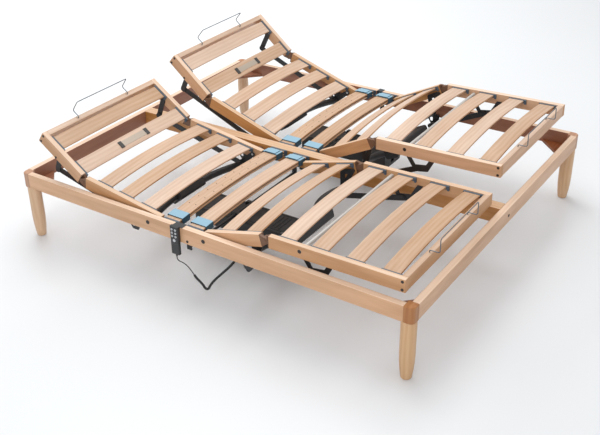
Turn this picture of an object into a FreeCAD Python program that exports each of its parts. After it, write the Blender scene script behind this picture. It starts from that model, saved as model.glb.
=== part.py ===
import FreeCAD, Part
import math
import os

# Double adjustable bed base: a beech outer frame on four turned legs, with two
# independent slatted lounges. Millimetres, +Z up, X across the bed, +Y to the head.
# The origin is on the floor under the middle of the frame.

# ---- outer frame ----
FRAME_LENGTH = 1900.0
FRAME_WIDTH = 1620.0
RAIL_THICK = 27.0
END_RAIL_THICK = 28.0
RAIL_HEIGHT = 67.0
RAIL_EDGE = 2.0
LEG_HEIGHT = 251.5
LEG_TOP_R = 29.0
LEG_FOOT_R = 20.5
LEG_INSET = 30.0
LEG_STRAIGHT = 0.58
POST_SIZE = 40.0
POST_ROUND = 20.0
POST_BEVEL = 3.0
PLATE_SIDE = 130.0
PLATE_THICK = 13.0
BEAM_WIDTH = 53.5
STUD_R = 5.0
STUD_UP = 34.0
STUD_DOWN = 40.0

# ---- lounge sections, measured along each section from its hinge ----
SIDE_GAP = 5.5
BEAM_GAP = 31.75
LOUNGE_RAIL_THICK = 24.0
LOUNGE_RAIL_HEIGHT = 52.0
LOUNGE_RAIL_EDGE = 2.0
BACK_LENGTH = 387.0
BACK_TAIL = 38.0
HEAD_LENGTH = 268.0
THIGH_LENGTH = 275.0
THIGH_TAIL = 11.0
FOOT_LENGTH = 577.0
HINGE_HALF_GAP = 19.0
BACK_PIVOT_Y = 225.0
THIGH_PIVOT_Y = -55.0
PIVOT_Z = 291.5

# ---- how each lounge stands, degrees from flat ----
LEFT_POSE = {"back": 8.8, "head": 26.4, "thigh": 15.2}
RIGHT_POSE = {"back": 18.6, "head": 21.4, "thigh": 26.9}
LEG_FOLLOW = -0.945

# ---- slats and their holders ----
SLAT_WIDTH = 68.0
SLAT_THICK = 8.0
SLAT_EDGE = 2.5
SLAT_CROWN = 20.0
HEAD_SLAT_CROWN = 7.0
SLAT_END_TOP = 20.0
SLAT_END_GAP = 2.0
HEAD_SLATS = (52.0, 198.0)
BACK_SLATS = (51.0, 172.0, 288.0)
THIGH_SLATS = (78.0, 205.0)
FOOT_SLATS = (83.0, 220.0, 364.0)
LAST_SLAT_GAP = 46.0
HOLDER_DEPTH = 10.0
HOLDER_SIDE = 3.0
HOLDER_OVER = 2.5
HOLDER_UNDER = 4.0
HOLDER_BLOCK = 8.0
HOLDER_BLOCK_DROP = 6.0
HOLDER_BLOCK_DEPTH = 8.0
FIXED_BLOCK_DEPTH = 4.5
FIXED_SLATS = (126.0, 8.0)
FIXED_END_TOP = 316.0
FIXED_CROWN = 18.0
LOWER_SLAT_THICK = 7.0
LOWER_SLAT_DROP = 6.0

# ---- firmness sliders on the doubled slats ----
SLIDER_LENGTH = 45.0
SLIDER_INSET = 50.0
SLIDER_WALL = 3.2
SLIDER_CLEAR = 1.2
SLIDER_TRAVEL = 110.0
SLIDER_SKIRT = 3.0

# ---- hinges, pivot bolts and caps ----
BOLT_R = 5.0
RUNNING_FIT = 0.06
KNUCKLE_R = 15.0
KNUCKLE_PLAY = 0.5
FLANGE_THICK = 3.5
FLANGE_MARGIN = 2.0
BUSH_R = 14.0
BUSH_PLAY = 0.5
CAP_R = 8.5
CAP_THICK = 1.6
SMALL_CAP_R = 5.5
CORNER_CAP_PITCH = 32.0
CORNER_CAP_INSET = 11.0

# ---- steel linkage, in lanes counted inwards from the lounge rail's inner face ----
PLATE = 4.0
LEVER_LANE = 0.0
BAR_LANE = 5.0
CRANK_LANE = 10.0
BAR_HALF_HEIGHT = 12.5
PIN_R = 5.0
PIN_SLOT_SHIFT = 1.4
PIN_SLOT_CLEAR = 1.3
LEG_PIN_CLEAR = 0.8
HEAD_LEVER_TOP = (161.0, -13.0)
HEAD_LEVER_PIN = (140.7, -96.5)
LEVER_R = 13.0
CRANK_R = 98.3
CRANK_EYE_R = 11.0
HEAD_BAR_LENGTH = 494.1
BOW_TUBE_R = 16.0
BOW_TUBE_WALL = 2.0
BACK_BOW_END = (62.0, -68.0)
BACK_BOW_MIDDLE = (120.2, -66.5)
LEG_BOW_END = (175.0, -93.0)
LEG_BOW_MIDDLE = (195.0, -122.0)
BOW_FLAT = 100.0
THRUST_BLOCK = (82.0, 34.0, 24.0)
LEG_THRUST_BLOCK = (150.0, 34.0, 22.0)
LEG_LINK_Y = -243.7
LEG_LINK_Z = 214.6
LEG_BAR_LENGTH = 294.3
LEG_LEVER_PIN = (208.0, -82.0)
CROSS_ROD_ALONG = 154.0
CROSS_ROD_UP = 4.0
CROSS_ROD_R = 8.0
D_BRACKET_WIDTH = 60.0
D_BRACKET_DROP = 37.0
D_BRACKET_THICK = 3.0
HEAD_STOP_Y = 323.0

# ---- mattress retainers of bent wire ----
RETAINER_R = 2.0
RETAINER_HALF_WIDTH = 157.0
RETAINER_STEP = 9.0
RETAINER_FOOT_BEND = 5.0
RETAINER_REACH = 30.0
RETAINER_RISE = 56.0
RETAINER_BEND = 9.0

# ---- drive of each lounge ----
DRIVE_WIDTH = 150.0
DRIVE_HEAD_Y = 245.0
DRIVE_FOOT_Y = -215.0
DRIVE_TOP_Z = 210.0
DRIVE_SPLIT_Z = 186.0
DRIVE_BOTTOM_Z = 138.0
DRIVE_EDGE = 9.0
DRIVE_WALL = 3.0
DRIVE_ROD_Y = 42.0
DRIVE_ROD_R = 6.0
CLAMP_WIDTH = 16.0
CLAMP_SPREAD = 52.0
GLAND_R = 7.0
GLAND_LENGTH = 10.0
GLAND_Y = -80.0
GLAND_Z = 162.0

# ---- handset on the left side rail ----
HANDSET_Y = 77.0
HANDSET_WIDTH = 40.0
HANDSET_DEPTH = 15.0
HANDSET_BOTTOM_Z = 200.0
HANDSET_TOP_Z = 324.0
HANDSET_EDGE = 4.0
HOOK_THICK = 2.0
HOOK_WIDTH = 28.0
HOOK_LIP = 24.0
HOOK_INSET = 2.0
HOOK_Y = 61.0
HOOK_DROP = 60.0
FAR_HOOK_DROP = 40.0
BUTTON_R = 4.6
BUTTON_CLEAR = 0.3
BUTTON_DEPTH = 6.0
BUTTON_PROUD = 1.4
BUTTON_LENGTH = 4.6
BUTTON_COLUMN = 8.5
BUTTON_ROWS = (311.0, 296.0, 281.0)
ROUND_BUTTON_Z = 263.0
ROUND_BUTTON_R = 6.5
CORD_R = 2.0
SLEEVE_R = 5.0
STRAIN_R = 4.0
STRAIN_LENGTH = 8.0

# Routes of the handset's thin cord and of the thicker sleeve that it enters.
CORD_ROUTE = [
    (-819.5, 77.0, 192.0), (-820.0, 78.0, 176.0), (-821.0, 66.0, 168.5), (-822.0, 48.0, 169.0),
    (-822.5, 29.0, 164.0), (-823.0, 12.0, 153.0), (-822.5, 1.0, 140.0), (-822.0, -8.0, 129.0),
]
SLEEVE_ROUTE = [
    (-822.0, -8.0, 129.0), (-821.5, -17.0, 118.0), (-821.0, -34.0, 107.0), (-821.0, -48.5, 96.5),
    (-820.5, -58.5, 82.0), (-816.5, -71.0, 81.5), (-813.0, -79.0, 102.5), (-804.0, -99.0, 132.0),
    (-791.0, -130.0, 167.0), (-774.0, -152.0, 193.0), (-748.0, -158.0, 208.0), (-715.0, -145.0, 207.0),
    (-680.0, -120.0, 194.0), (-644.0, -96.0, 178.0), (-602.0, -83.0, 167.0), (-553.0, -80.0, 162.0),
    (-503.0, -80.0, 162.0),
]

# ---- places worked out from the sizes above ----
RAIL_TOP = LEG_HEIGHT + RAIL_HEIGHT
HALF_W = FRAME_WIDTH / 2
HALF_L = FRAME_LENGTH / 2
RAIL_INNER_X = HALF_W - RAIL_THICK
LOUNGE_OUTER_X = RAIL_INNER_X - SIDE_GAP
LOUNGE_INNER_X = BEAM_WIDTH / 2 + BEAM_GAP
LOUNGE_X = (LOUNGE_OUTER_X + LOUNGE_INNER_X) / 2
LOUNGE_HALF = (LOUNGE_OUTER_X - LOUNGE_INNER_X) / 2
RAIL_FACE = LOUNGE_HALF - LOUNGE_RAIL_THICK
HALF_H = LOUNGE_RAIL_HEIGHT / 2
BEAM_TOP = RAIL_TOP
HANDSET_BACK_X = -HALF_W - HOOK_THICK
HANDSET_FRONT_X = HANDSET_BACK_X - HANDSET_DEPTH


def vec(x, y, z):
    return FreeCAD.Vector(x, y, z)


def box(x0, x1, y0, y1, z0, z1):
    return Part.makeBox(x1 - x0, y1 - y0, z1 - z0, vec(x0, y0, z0))


def rod_x(x0, x1, y, z, radius):
    """Round bar along X."""
    return Part.makeCylinder(radius, x1 - x0, vec(x0, y, z), vec(1, 0, 0))


def rod_y(x, y0, y1, z, radius):
    """Round bar along Y."""
    return Part.makeCylinder(radius, y1 - y0, vec(x, y0, z), vec(0, 1, 0))


def rod_z(x, y, z0, z1, radius):
    """Upright round bar."""
    return Part.makeCylinder(radius, z1 - z0, vec(x, y, z0))


def plate_x(outline, x0, x1):
    """Flat plate in the YZ plane from a list of (y, z) corners."""
    corners = [vec(x0, y, z) for y, z in outline]
    wire = Part.makePolygon(corners + corners[:1])
    return Part.Face(wire).extrude(vec(x1 - x0, 0, 0))


def strap_x(start, end, half_height, x0, x1):
    """Flat bar with round ends between two (y, z) centres."""
    dy, dz = end[0] - start[0], end[1] - start[1]
    length = math.hypot(dy, dz)
    ny, nz = -dz / length * half_height, dy / length * half_height
    web = plate_x(
        [(start[0] + ny, start[1] + nz), (end[0] + ny, end[1] + nz),
         (end[0] - ny, end[1] - nz), (start[0] - ny, start[1] - nz)], x0, x1)
    ends = [rod_x(x0, x1, y, z, half_height) for y, z in (start, end)]
    return web.fuse(ends).removeSplitter()


def rounded(shape, radius, along):
    """Rounds the straight edges that run along one axis."""
    edges = [e for e in shape.Edges if e.Curve.TypeId == "Part::GeomLine"
             and abs(e.tangentAt(e.FirstParameter).dot(along)) > 0.999]
    return shape.makeFillet(radius, edges)


def soft_bar(x0, x1, y0, y1, z0, z1, radius, along):
    return rounded(box(x0, x1, y0, y1, z0, z1), radius, along)


def turned(shapes, angle, x, y, z):
    """Swings flat-built shapes about X through the origin, then moves the origin to (x, y, z)."""
    done = []
    for shape in shapes:
        copy = shape.copy()
        copy.rotate(vec(0, 0, 0), vec(1, 0, 0), angle)
        copy.translate(vec(x, y, z))
        done.append(copy)
    return done


def at_both_sides(shape):
    """A piece and its mirror image on the other side of x = 0."""
    return [shape, shape.mirror(vec(0, 0, 0), vec(1, 0, 0))]


def write(node, solids):
    flat = []
    for item in solids:
        flat.extend(item.Solids)
    bad = [s for s in flat if not s.isValid() or s.Volume <= 0]
    if bad or not flat:
        raise ValueError(node + " has a solid that is not valid")
    shape = flat[0] if len(flat) == 1 else Part.makeCompound(flat)
    shape.exportStep("parts/" + node + ".step")


def lane(number):
    """The x span of a steel plate whose outer face is this far inwards from the rail face."""
    return -RAIL_FACE + number, -RAIL_FACE + number + PLATE


# ------------------------------------------------------------------ routes of tubes and wires

def route_wire(points, radii):
    """Straight runs joined by tangent arcs, one radius for each inner point."""
    edges = []
    start = points[0]
    for before, corner, after, radius in zip(points, points[1:], points[2:], radii):
        back = (before - corner).normalize()
        ahead = (after - corner).normalize()
        turn = math.pi - back.getAngle(ahead)
        reach = radius * math.tan(turn / 2)
        enter = corner + back * reach
        leave = corner + ahead * reach
        bisector = (back + ahead).normalize()
        middle = corner + bisector * (radius / math.cos(turn / 2) - radius)
        edges.append(Part.LineSegment(start, enter).toShape())
        edges.append(Part.Arc(enter, middle, leave).toShape())
        start = leave
    edges.append(Part.LineSegment(start, points[-1]).toShape())
    return Part.Wire(edges)


def loose_radii(points):
    """The widest bend that each corner of a loose cord leaves room for."""
    radii = []
    for before, corner, after in zip(points, points[1:], points[2:]):
        run_in, run_out = corner - before, after - corner
        turn = run_in.getAngle(run_out)
        radii.append(0.45 * min(run_in.Length, run_out.Length) / math.tan(turn / 2))
    return radii


def tube_along(wire, radius):
    first = wire.Edges[0]
    start = first.valueAt(first.FirstParameter)
    heading = first.tangentAt(first.FirstParameter)
    ring = Part.Wire(Part.makeCircle(radius, start, heading))
    return wire.makePipeShell([ring], True, False)


# ------------------------------------------------------------------ outer frame

def side_rails():
    reach = HALF_L - POST_SIZE
    rail = soft_bar(-HALF_W, -RAIL_INNER_X, -reach, reach, LEG_HEIGHT, RAIL_TOP, RAIL_EDGE, vec(0, 1, 0))
    for y in (BACK_PIVOT_Y, THIGH_PIVOT_Y):
        rail = rail.cut(rod_x(-HALF_W - 1, -RAIL_INNER_X + 1, y, PIVOT_Z, BOLT_R))
    return at_both_sides(rail)


def end_rails():
    reach = HALF_W - POST_SIZE
    inner = HALF_L - END_RAIL_THICK
    head = soft_bar(-reach, reach, inner, HALF_L, LEG_HEIGHT, RAIL_TOP, RAIL_EDGE, vec(1, 0, 0))
    return [head, head.mirror(vec(0, 0, 0), vec(0, 1, 0))]


def centre_beam():
    reach = HALF_L - END_RAIL_THICK
    half = BEAM_WIDTH / 2
    beam = soft_bar(-half, half, -reach, reach, LEG_HEIGHT, BEAM_TOP, RAIL_EDGE, vec(0, 1, 0))
    for y in (BACK_PIVOT_Y, THIGH_PIVOT_Y):
        beam = beam.cut(rod_x(-half - 1, half + 1, y, PIVOT_Z, BOLT_R))
    return [beam]


def corners(piece):
    """Copies of a piece of the left head corner at the four corners."""
    left = [piece, piece.mirror(vec(0, 0, 0), vec(0, 1, 0))]
    return left + [p.mirror(vec(0, 0, 0), vec(1, 0, 0)) for p in left]


def corner_post():
    post = box(-HALF_W, -HALF_W + POST_SIZE, HALF_L - POST_SIZE, HALF_L, LEG_HEIGHT, RAIL_TOP)
    outer = [e for e in post.Edges if abs(e.CenterOfMass.x + HALF_W) < 0.1
             and abs(e.CenterOfMass.y - HALF_L) < 0.1]
    post = post.makeFillet(POST_ROUND, outer)
    top = [e for e in post.Edges if abs(e.CenterOfMass.z - RAIL_TOP) < 0.1
           and (e.CenterOfMass.x < -HALF_W + POST_SIZE - 12 or e.CenterOfMass.y > HALF_L - POST_SIZE + 12)
           and not (abs(e.CenterOfMass.x + HALF_W - POST_SIZE) < 0.1 or abs(e.CenterOfMass.y - HALF_L + POST_SIZE) < 0.1)]
    post = post.makeChamfer(POST_BEVEL, top)
    return post.cut(leg_stud())


def leg_stud():
    x, y = -HALF_W + LEG_INSET, HALF_L - LEG_INSET
    return rod_z(x, y, LEG_HEIGHT - STUD_DOWN, LEG_HEIGHT + STUD_UP, STUD_R)


def leg():
    """Turned leg: straight shank, then a curved taper to a rounded foot."""
    shank_z = LEG_HEIGHT * (1 - LEG_STRAIGHT)
    middle_r = LEG_FOOT_R + (LEG_TOP_R - LEG_FOOT_R) * 0.72
    foot_round = 4.0
    taper = Part.Arc(vec(LEG_TOP_R, 0, shank_z), vec(middle_r, 0, shank_z * 0.5), vec(LEG_FOOT_R, 0, foot_round))
    foot = Part.Arc(vec(LEG_FOOT_R, 0, foot_round),
                    vec(LEG_FOOT_R - foot_round * 0.3, 0, foot_round * 0.3),
                    vec(LEG_FOOT_R - foot_round, 0, 0))
    lines = [
        Part.LineSegment(vec(0, 0, 0), vec(0, 0, LEG_HEIGHT)),
        Part.LineSegment(vec(0, 0, LEG_HEIGHT), vec(LEG_TOP_R, 0, LEG_HEIGHT)),
        Part.LineSegment(vec(LEG_TOP_R, 0, LEG_HEIGHT), vec(LEG_TOP_R, 0, shank_z)),
        taper, foot,
        Part.LineSegment(vec(LEG_FOOT_R - foot_round, 0, 0), vec(0, 0, 0)),
    ]
    profile = Part.Face(Part.Wire([line.toShape() for line in lines]))
    body = profile.revolve(vec(0, 0, 0), vec(0, 0, 1), 360)
    body = Part.Solid(body.Shells[0])
    body.translate(vec(-HALF_W + LEG_INSET, HALF_L - LEG_INSET, 0))
    return body.cut(leg_stud())


def corner_plate():
    """Three-cornered plate under the frame's inner corner, cut round the post."""
    x, y = -RAIL_INNER_X, HALF_L - END_RAIL_THICK
    outline = [vec(x, y, LEG_HEIGHT), vec(x + PLATE_SIDE, y, LEG_HEIGHT), vec(x, y - PLATE_SIDE, LEG_HEIGHT)]
    plate = Part.Face(Part.makePolygon(outline + outline[:1])).extrude(vec(0, 0, PLATE_THICK))
    post = box(-HALF_W, -HALF_W + POST_SIZE, HALF_L - POST_SIZE, HALF_L, LEG_HEIGHT, RAIL_TOP)
    return plate.cut(post)


# ------------------------------------------------------------------ slats and holders

def slat(half_span, end_top, crown, thick, start_y):
    """Bowed slat that runs along X, with rounded long edges."""
    middle = end_top - thick / 2
    bow = Part.Arc(vec(-half_span, 0, middle), vec(0, 0, middle + crown), vec(half_span, 0, middle)).toShape()
    heading = bow.tangentAt(bow.FirstParameter)
    section = rounded(box(-1, 0, -SLAT_WIDTH / 2, SLAT_WIDTH / 2, -thick / 2, thick / 2), SLAT_EDGE, vec(1, 0, 0))
    outline = [f for f in section.Faces if abs(f.CenterOfMass.x) < 1e-6][0].OuterWire
    outline.rotate(vec(0, 0, 0), vec(0, 1, 0), -math.degrees(math.atan2(heading.z, heading.x)))
    outline.translate(vec(-half_span, 0, middle))
    band = Part.Wire([bow]).makePipeShell([outline], True, False)
    band.translate(vec(0, start_y + SLAT_WIDTH / 2, 0))
    return band


def holder(slat_shape, along, end_top, face_x, stack, block_depth):
    """Holder on the left rail face: a shallow pocket for the slat end, and a block at its foot side."""
    y0, y1 = along - SLAT_WIDTH / 2 - HOLDER_SIDE, along + SLAT_WIDTH / 2 + HOLDER_SIDE
    top = end_top + HOLDER_OVER
    bottom = end_top - stack - HOLDER_UNDER
    body = box(face_x, face_x + HOLDER_DEPTH, y0, y1, bottom, top)
    block = box(face_x, face_x + block_depth, y0 - HOLDER_BLOCK, y0, bottom - HOLDER_BLOCK_DROP, top)
    return body.fuse(block).removeSplitter().cut(slat_shape)


def lounge_slats(places, direction, crown):
    """The slats of one section and their holders, built flat with the hinge at the origin."""
    span = RAIL_FACE - SLAT_END_GAP
    slats, holders = [], []
    for along in places:
        y = direction * along
        one = slat(span, SLAT_END_TOP, crown, SLAT_THICK, y - SLAT_WIDTH / 2)
        slats.append(one)
        piece = holder(one, y, SLAT_END_TOP, -RAIL_FACE, SLAT_THICK, HOLDER_BLOCK_DEPTH)
        holders.extend(at_both_sides(piece))
    return slats, holders


# ------------------------------------------------------------------ lounge sections, built flat

def section_rail(start, end, direction, bores):
    """Left side rail of a section, bored for the bolts at the given places along it."""
    y0, y1 = sorted((direction * start, direction * end))
    rail = soft_bar(-LOUNGE_HALF, -RAIL_FACE, y0, y1, -HALF_H, HALF_H, LOUNGE_RAIL_EDGE, vec(0, 1, 0))
    for along, up, radius in bores:
        rail = rail.cut(rod_x(-LOUNGE_HALF - 1, -RAIL_FACE + 1, direction * along, up, radius))
    return rail


def section_end_rail(length, direction):
    """Cross rail between the side rails, flush with their ends."""
    y0, y1 = sorted((direction * (length - LOUNGE_RAIL_THICK), direction * length))
    return soft_bar(-RAIL_FACE, RAIL_FACE, y0, y1, -HALF_H, HALF_H, LOUNGE_RAIL_EDGE, vec(1, 0, 0))


def knuckle(rail_end, direction, outer, bore):
    """Hinge fitting on a rail end: a flange on the end grain and a half-width arm round the pin.

    rail_end is -1 where the rail lies before the pin and +1 where it lies after it."""
    middle = -(LOUNGE_HALF + RAIL_FACE) / 2
    side = rail_end * direction
    x0, x1 = (-LOUNGE_HALF, middle - KNUCKLE_PLAY / 2) if outer else (middle + KNUCKLE_PLAY / 2, -RAIL_FACE)
    near, far = side * (HINGE_HALF_GAP - FLANGE_THICK), side * HINGE_HALF_GAP
    y0, y1 = sorted((near, far))
    high = HALF_H - FLANGE_MARGIN
    flange = box(-LOUNGE_HALF, -RAIL_FACE, y0, y1, -high, high)
    arm = plate_x([(near, -high), (near, high), (0, KNUCKLE_R), (0, -KNUCKLE_R)], x0, x1)
    eye = rod_x(x0, x1, 0, 0, KNUCKLE_R)
    fitting = flange.fuse([arm, eye]).removeSplitter()
    return fitting.cut(rod_x(-LOUNGE_HALF - 1, -RAIL_FACE + 1, 0, 0, bore))


def hinge_pin():
    """Pin through both fittings, with a low head outside."""
    shank = rod_x(-LOUNGE_HALF, -RAIL_FACE, 0, 0, BOLT_R)
    return shank.fuse(rod_x(-LOUNGE_HALF - CAP_THICK, -LOUNGE_HALF, 0, 0, CAP_R)).removeSplitter()


def moved_along(shapes, distance):
    for shape in shapes:
        shape.translate(vec(0, distance, 0))
    return shapes


def face_cap(y, z, radius):
    """Flat cap on a section rail's outer face."""
    return rod_x(-LOUNGE_HALF - CAP_THICK, -LOUNGE_HALF, y, z, radius)


def corner_caps(length, direction):
    y = direction * (length - CORNER_CAP_INSET)
    caps = []
    for z in (-CORNER_CAP_PITCH / 2, CORNER_CAP_PITCH / 2):
        caps.extend(at_both_sides(face_cap(y, z, SMALL_CAP_R)))
    return caps


def back_section():
    slats, holders = lounge_slats(BACK_SLATS, 1, SLAT_CROWN)
    rail = section_rail(-BACK_TAIL, BACK_LENGTH - HINGE_HALF_GAP, 1, [(0, 0, BOLT_R + RUNNING_FIT)])
    hinge = moved_along([knuckle(-1, 1, True, BOLT_R), hinge_pin()], BACK_LENGTH)
    fittings = [piece for one in hinge for piece in at_both_sides(one)]
    return at_both_sides(rail) + slats, holders + fittings


def head_section():
    slats, holders = lounge_slats(HEAD_SLATS, 1, HEAD_SLAT_CROWN)
    rail = section_rail(HINGE_HALF_GAP, HEAD_LENGTH, 1, [])
    fittings = at_both_sides(knuckle(1, 1, False, BOLT_R + RUNNING_FIT))
    caps = corner_caps(HEAD_LENGTH, 1) + at_both_sides(face_cap(HEAD_LEVER_TOP[0], HEAD_LEVER_TOP[1] - 6, SMALL_CAP_R))
    frame = at_both_sides(rail) + [section_end_rail(HEAD_LENGTH, 1)] + slats
    return frame, holders + fittings + caps


def thigh_section():
    slats, holders = lounge_slats(THIGH_SLATS, -1, SLAT_CROWN)
    rail = section_rail(-THIGH_TAIL, THIGH_LENGTH - HINGE_HALF_GAP, -1, [(0, 0, BOLT_R + RUNNING_FIT)])
    hinge = moved_along([knuckle(-1, -1, True, BOLT_R), hinge_pin()], -THIGH_LENGTH)
    fittings = [piece for one in hinge for piece in at_both_sides(one)]
    return at_both_sides(rail) + slats, holders + fittings


def foot_section():
    last = FOOT_LENGTH - LOUNGE_RAIL_THICK - LAST_SLAT_GAP
    slats, holders = lounge_slats(FOOT_SLATS + (last,), -1, SLAT_CROWN)
    rail = section_rail(HINGE_HALF_GAP, FOOT_LENGTH, -1, [(CROSS_ROD_ALONG, CROSS_ROD_UP, CROSS_ROD_R)])
    fittings = at_both_sides(knuckle(1, -1, False, BOLT_R + RUNNING_FIT))
    caps = corner_caps(FOOT_LENGTH, -1)
    frame = at_both_sides(rail) + [section_end_rail(FOOT_LENGTH, -1)] + slats
    return frame, holders + fittings + caps


def retainer(length, direction):
    """Bent wire that keeps the mattress from sliding off a section's end, standing on its end rail."""
    base = HALF_H + RETAINER_STEP
    top = base + RETAINER_RISE
    foot_y = direction * (length - LOUNGE_RAIL_THICK / 2)
    out_y = direction * (length + RETAINER_REACH - RETAINER_R)
    half = RETAINER_HALF_WIDTH
    left = [vec(-half, foot_y, HALF_H), vec(-half, foot_y, base), vec(-half, out_y, base), vec(-half, out_y, top)]
    right = [vec(half, p.y, p.z) for p in reversed(left)]
    radii = [RETAINER_FOOT_BEND, RETAINER_BEND, RETAINER_BEND]
    return tube_along(route_wire(left + right, radii + radii[::-1]), RETAINER_R)


# ------------------------------------------------------------------ linkage

def lever_pin(y, z, first_lane, last_lane):
    return rod_x(-RAIL_FACE + first_lane, -RAIL_FACE + last_lane, y, z, PIN_R)


def head_levers():
    """Levers on the inner faces of the head rails, with the pins that the tilt bars turn on."""
    x0, x1 = lane(LEVER_LANE)
    lever = strap_x(HEAD_LEVER_TOP, HEAD_LEVER_PIN, LEVER_R, x0, x1)
    lever = lever.fuse(lever_pin(HEAD_LEVER_PIN[0], HEAD_LEVER_PIN[1], 0, BAR_LANE + PLATE + 1)).removeSplitter()
    return at_both_sides(lever)


def tilt_bar():
    """Long flat bar from the head lever's pin at the origin to the crank, laid along -Y."""
    x0, x1 = lane(BAR_LANE)
    bar = strap_x((0, 0), (-HEAD_BAR_LENGTH, 0), BAR_HALF_HEIGHT, x0, x1)
    bar = bar.cut(rod_x(x0 - 1, x1 + 1, 0, 0, PIN_R + RUNNING_FIT))
    slot = strap_x((-HEAD_BAR_LENGTH - PIN_SLOT_SHIFT, 0), (-HEAD_BAR_LENGTH + PIN_SLOT_SHIFT, 0),
                   PIN_R + PIN_SLOT_CLEAR, x0 - 1, x1 + 1)
    return at_both_sides(bar.cut(slot))


def bow_wire(end, middle, bulge):
    """Centre line of a lift bow: a straight middle and two curved arms, symmetrical about x = 0."""
    end_x = RAIL_FACE - CRANK_LANE - PLATE
    run = end_x - BOW_FLAT
    over = 6.0
    points = [(-end_x - over, end), (-end_x + run * 0.35, bulge), (-BOW_FLAT, middle)]
    left = [vec(x, p[0], p[1]) for x, p in points]
    right = [vec(-p.x, p.y, p.z) for p in reversed(left)]
    arm_out = Part.Arc(left[0], left[1], left[2]).toShape()
    arm_in = Part.Arc(right[0], right[1], right[2]).toShape()
    return arm_out, Part.LineSegment(left[2], right[0]).toShape(), arm_in


def bow_core(end, middle, bulge, radius):
    """Solid bar along a bow's centre line, cut square at its end plates."""
    pieces = [tube_along(Part.Wire([edge]), radius) for edge in bow_wire(end, middle, bulge)]
    knees = [Part.makeSphere(radius, vec(x, middle[0], middle[1])) for x in (-BOW_FLAT, BOW_FLAT)]
    reach = RAIL_FACE - CRANK_LANE - PLATE / 2
    keep = box(-reach, reach, -600, 600, -600, 600)
    return pieces[0].fuse(pieces[1:] + knees).common(keep)


def lift_bow(end, middle, bulge, block):
    """Bent tube of a lift bow, and the moulded block round its middle."""
    core = bow_core(end, middle, bulge, BOW_TUBE_R)
    bore = bow_core(end, middle, bulge, BOW_TUBE_R - BOW_TUBE_WALL)
    half_x, half_y, half_z = block
    shell = soft_bar(-half_x, half_x, middle[0] - half_y, middle[0] + half_y,
                     middle[1] - half_z, middle[1] + half_z, 10.0, vec(1, 0, 0))
    return core.cut(bore), shell.cut(core)


def crank_angle(tilt):
    """Angle of the crank pin from the back rail, degrees, for a head tilt in degrees."""
    a = math.radians(tilt)
    y = BACK_LENGTH + HEAD_LEVER_PIN[0] * math.cos(a) - HEAD_LEVER_PIN[1] * math.sin(a)
    z = HEAD_LEVER_PIN[0] * math.sin(a) + HEAD_LEVER_PIN[1] * math.cos(a)
    distance = math.hypot(y, z)
    cosine = (distance ** 2 + CRANK_R ** 2 - HEAD_BAR_LENGTH ** 2) / (2 * distance * CRANK_R)
    return math.degrees(math.atan2(z, y) - math.acos(cosine))


def back_lift_bow():
    """Two cranks on the back pivot, welded to the back bow; built with the crank pin along +Y."""
    x0, x1 = lane(CRANK_LANE)
    rest = crank_angle(LEFT_POSE["head"]) + LEFT_POSE["back"]
    def unturned(point):
        a = math.radians(-rest)
        return (point[0] * math.cos(a) - point[1] * math.sin(a), point[0] * math.sin(a) + point[1] * math.cos(a))
    pin = (CRANK_R, 0.0)
    end, middle = unturned(BACK_BOW_END), unturned(BACK_BOW_MIDDLE)
    bulge = unturned((BACK_BOW_END[0] * 0.45 + BACK_BOW_MIDDLE[0] * 0.55,
                      BACK_BOW_END[1] * 0.45 + BACK_BOW_MIDDLE[1] * 0.55))
    plate = strap_x((0, 0), pin, CRANK_EYE_R, x0, x1)
    plate = plate.fuse([strap_x((0, 0), end, CRANK_EYE_R, x0, x1), strap_x(end, pin, CRANK_EYE_R, x0, x1),
                        plate_x([(0, 0), pin, end], x0, x1), rod_x(x0, x1, end[0], end[1], BOW_TUBE_R + 3)])
    plate = plate.removeSplitter().cut(rod_x(x0 - 1, x1 + 1, 0, 0, BOLT_R + RUNNING_FIT))
    plate = plate.fuse(lever_pin(pin[0], pin[1], BAR_LANE - 0.5, CRANK_LANE + PLATE))
    tube, shell = lift_bow(end, middle, bulge, THRUST_BLOCK)
    weldment = tube.fuse(at_both_sides(plate)).removeSplitter()
    return [weldment, shell]


def leg_lift_bow():
    """Bow of the thigh section: two plates held off the rails by bosses, and the bent tube."""
    x0, x1 = lane(CRANK_LANE)
    end = (-LEG_BOW_END[0], LEG_BOW_END[1])
    middle = (-LEG_BOW_MIDDLE[0], LEG_BOW_MIDDLE[1])
    bulge = (-LEG_BOW_END[0] + 46.0, LEG_BOW_END[1] - 6.0)
    top = [(-(THIGH_LENGTH - 80.0), -12.0), (-(THIGH_LENGTH - 34.0), -12.0)]
    plate = strap_x(top[0], end, CRANK_EYE_R, x0, x1)
    plate = plate.fuse([strap_x(top[0], top[1], CRANK_EYE_R, x0, x1), strap_x(top[1], end, CRANK_EYE_R, x0, x1),
                        rod_x(x0, x1, end[0], end[1], BOW_TUBE_R + 3)])
    bosses = [rod_x(-RAIL_FACE, x0, y, z, CRANK_EYE_R - 2) for y, z in top]
    plate = plate.fuse(bosses).removeSplitter()
    tube, shell = lift_bow(end, middle, bulge, LEG_THRUST_BLOCK)
    weldment = tube.fuse(at_both_sides(plate)).removeSplitter()
    return [weldment, shell]


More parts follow.
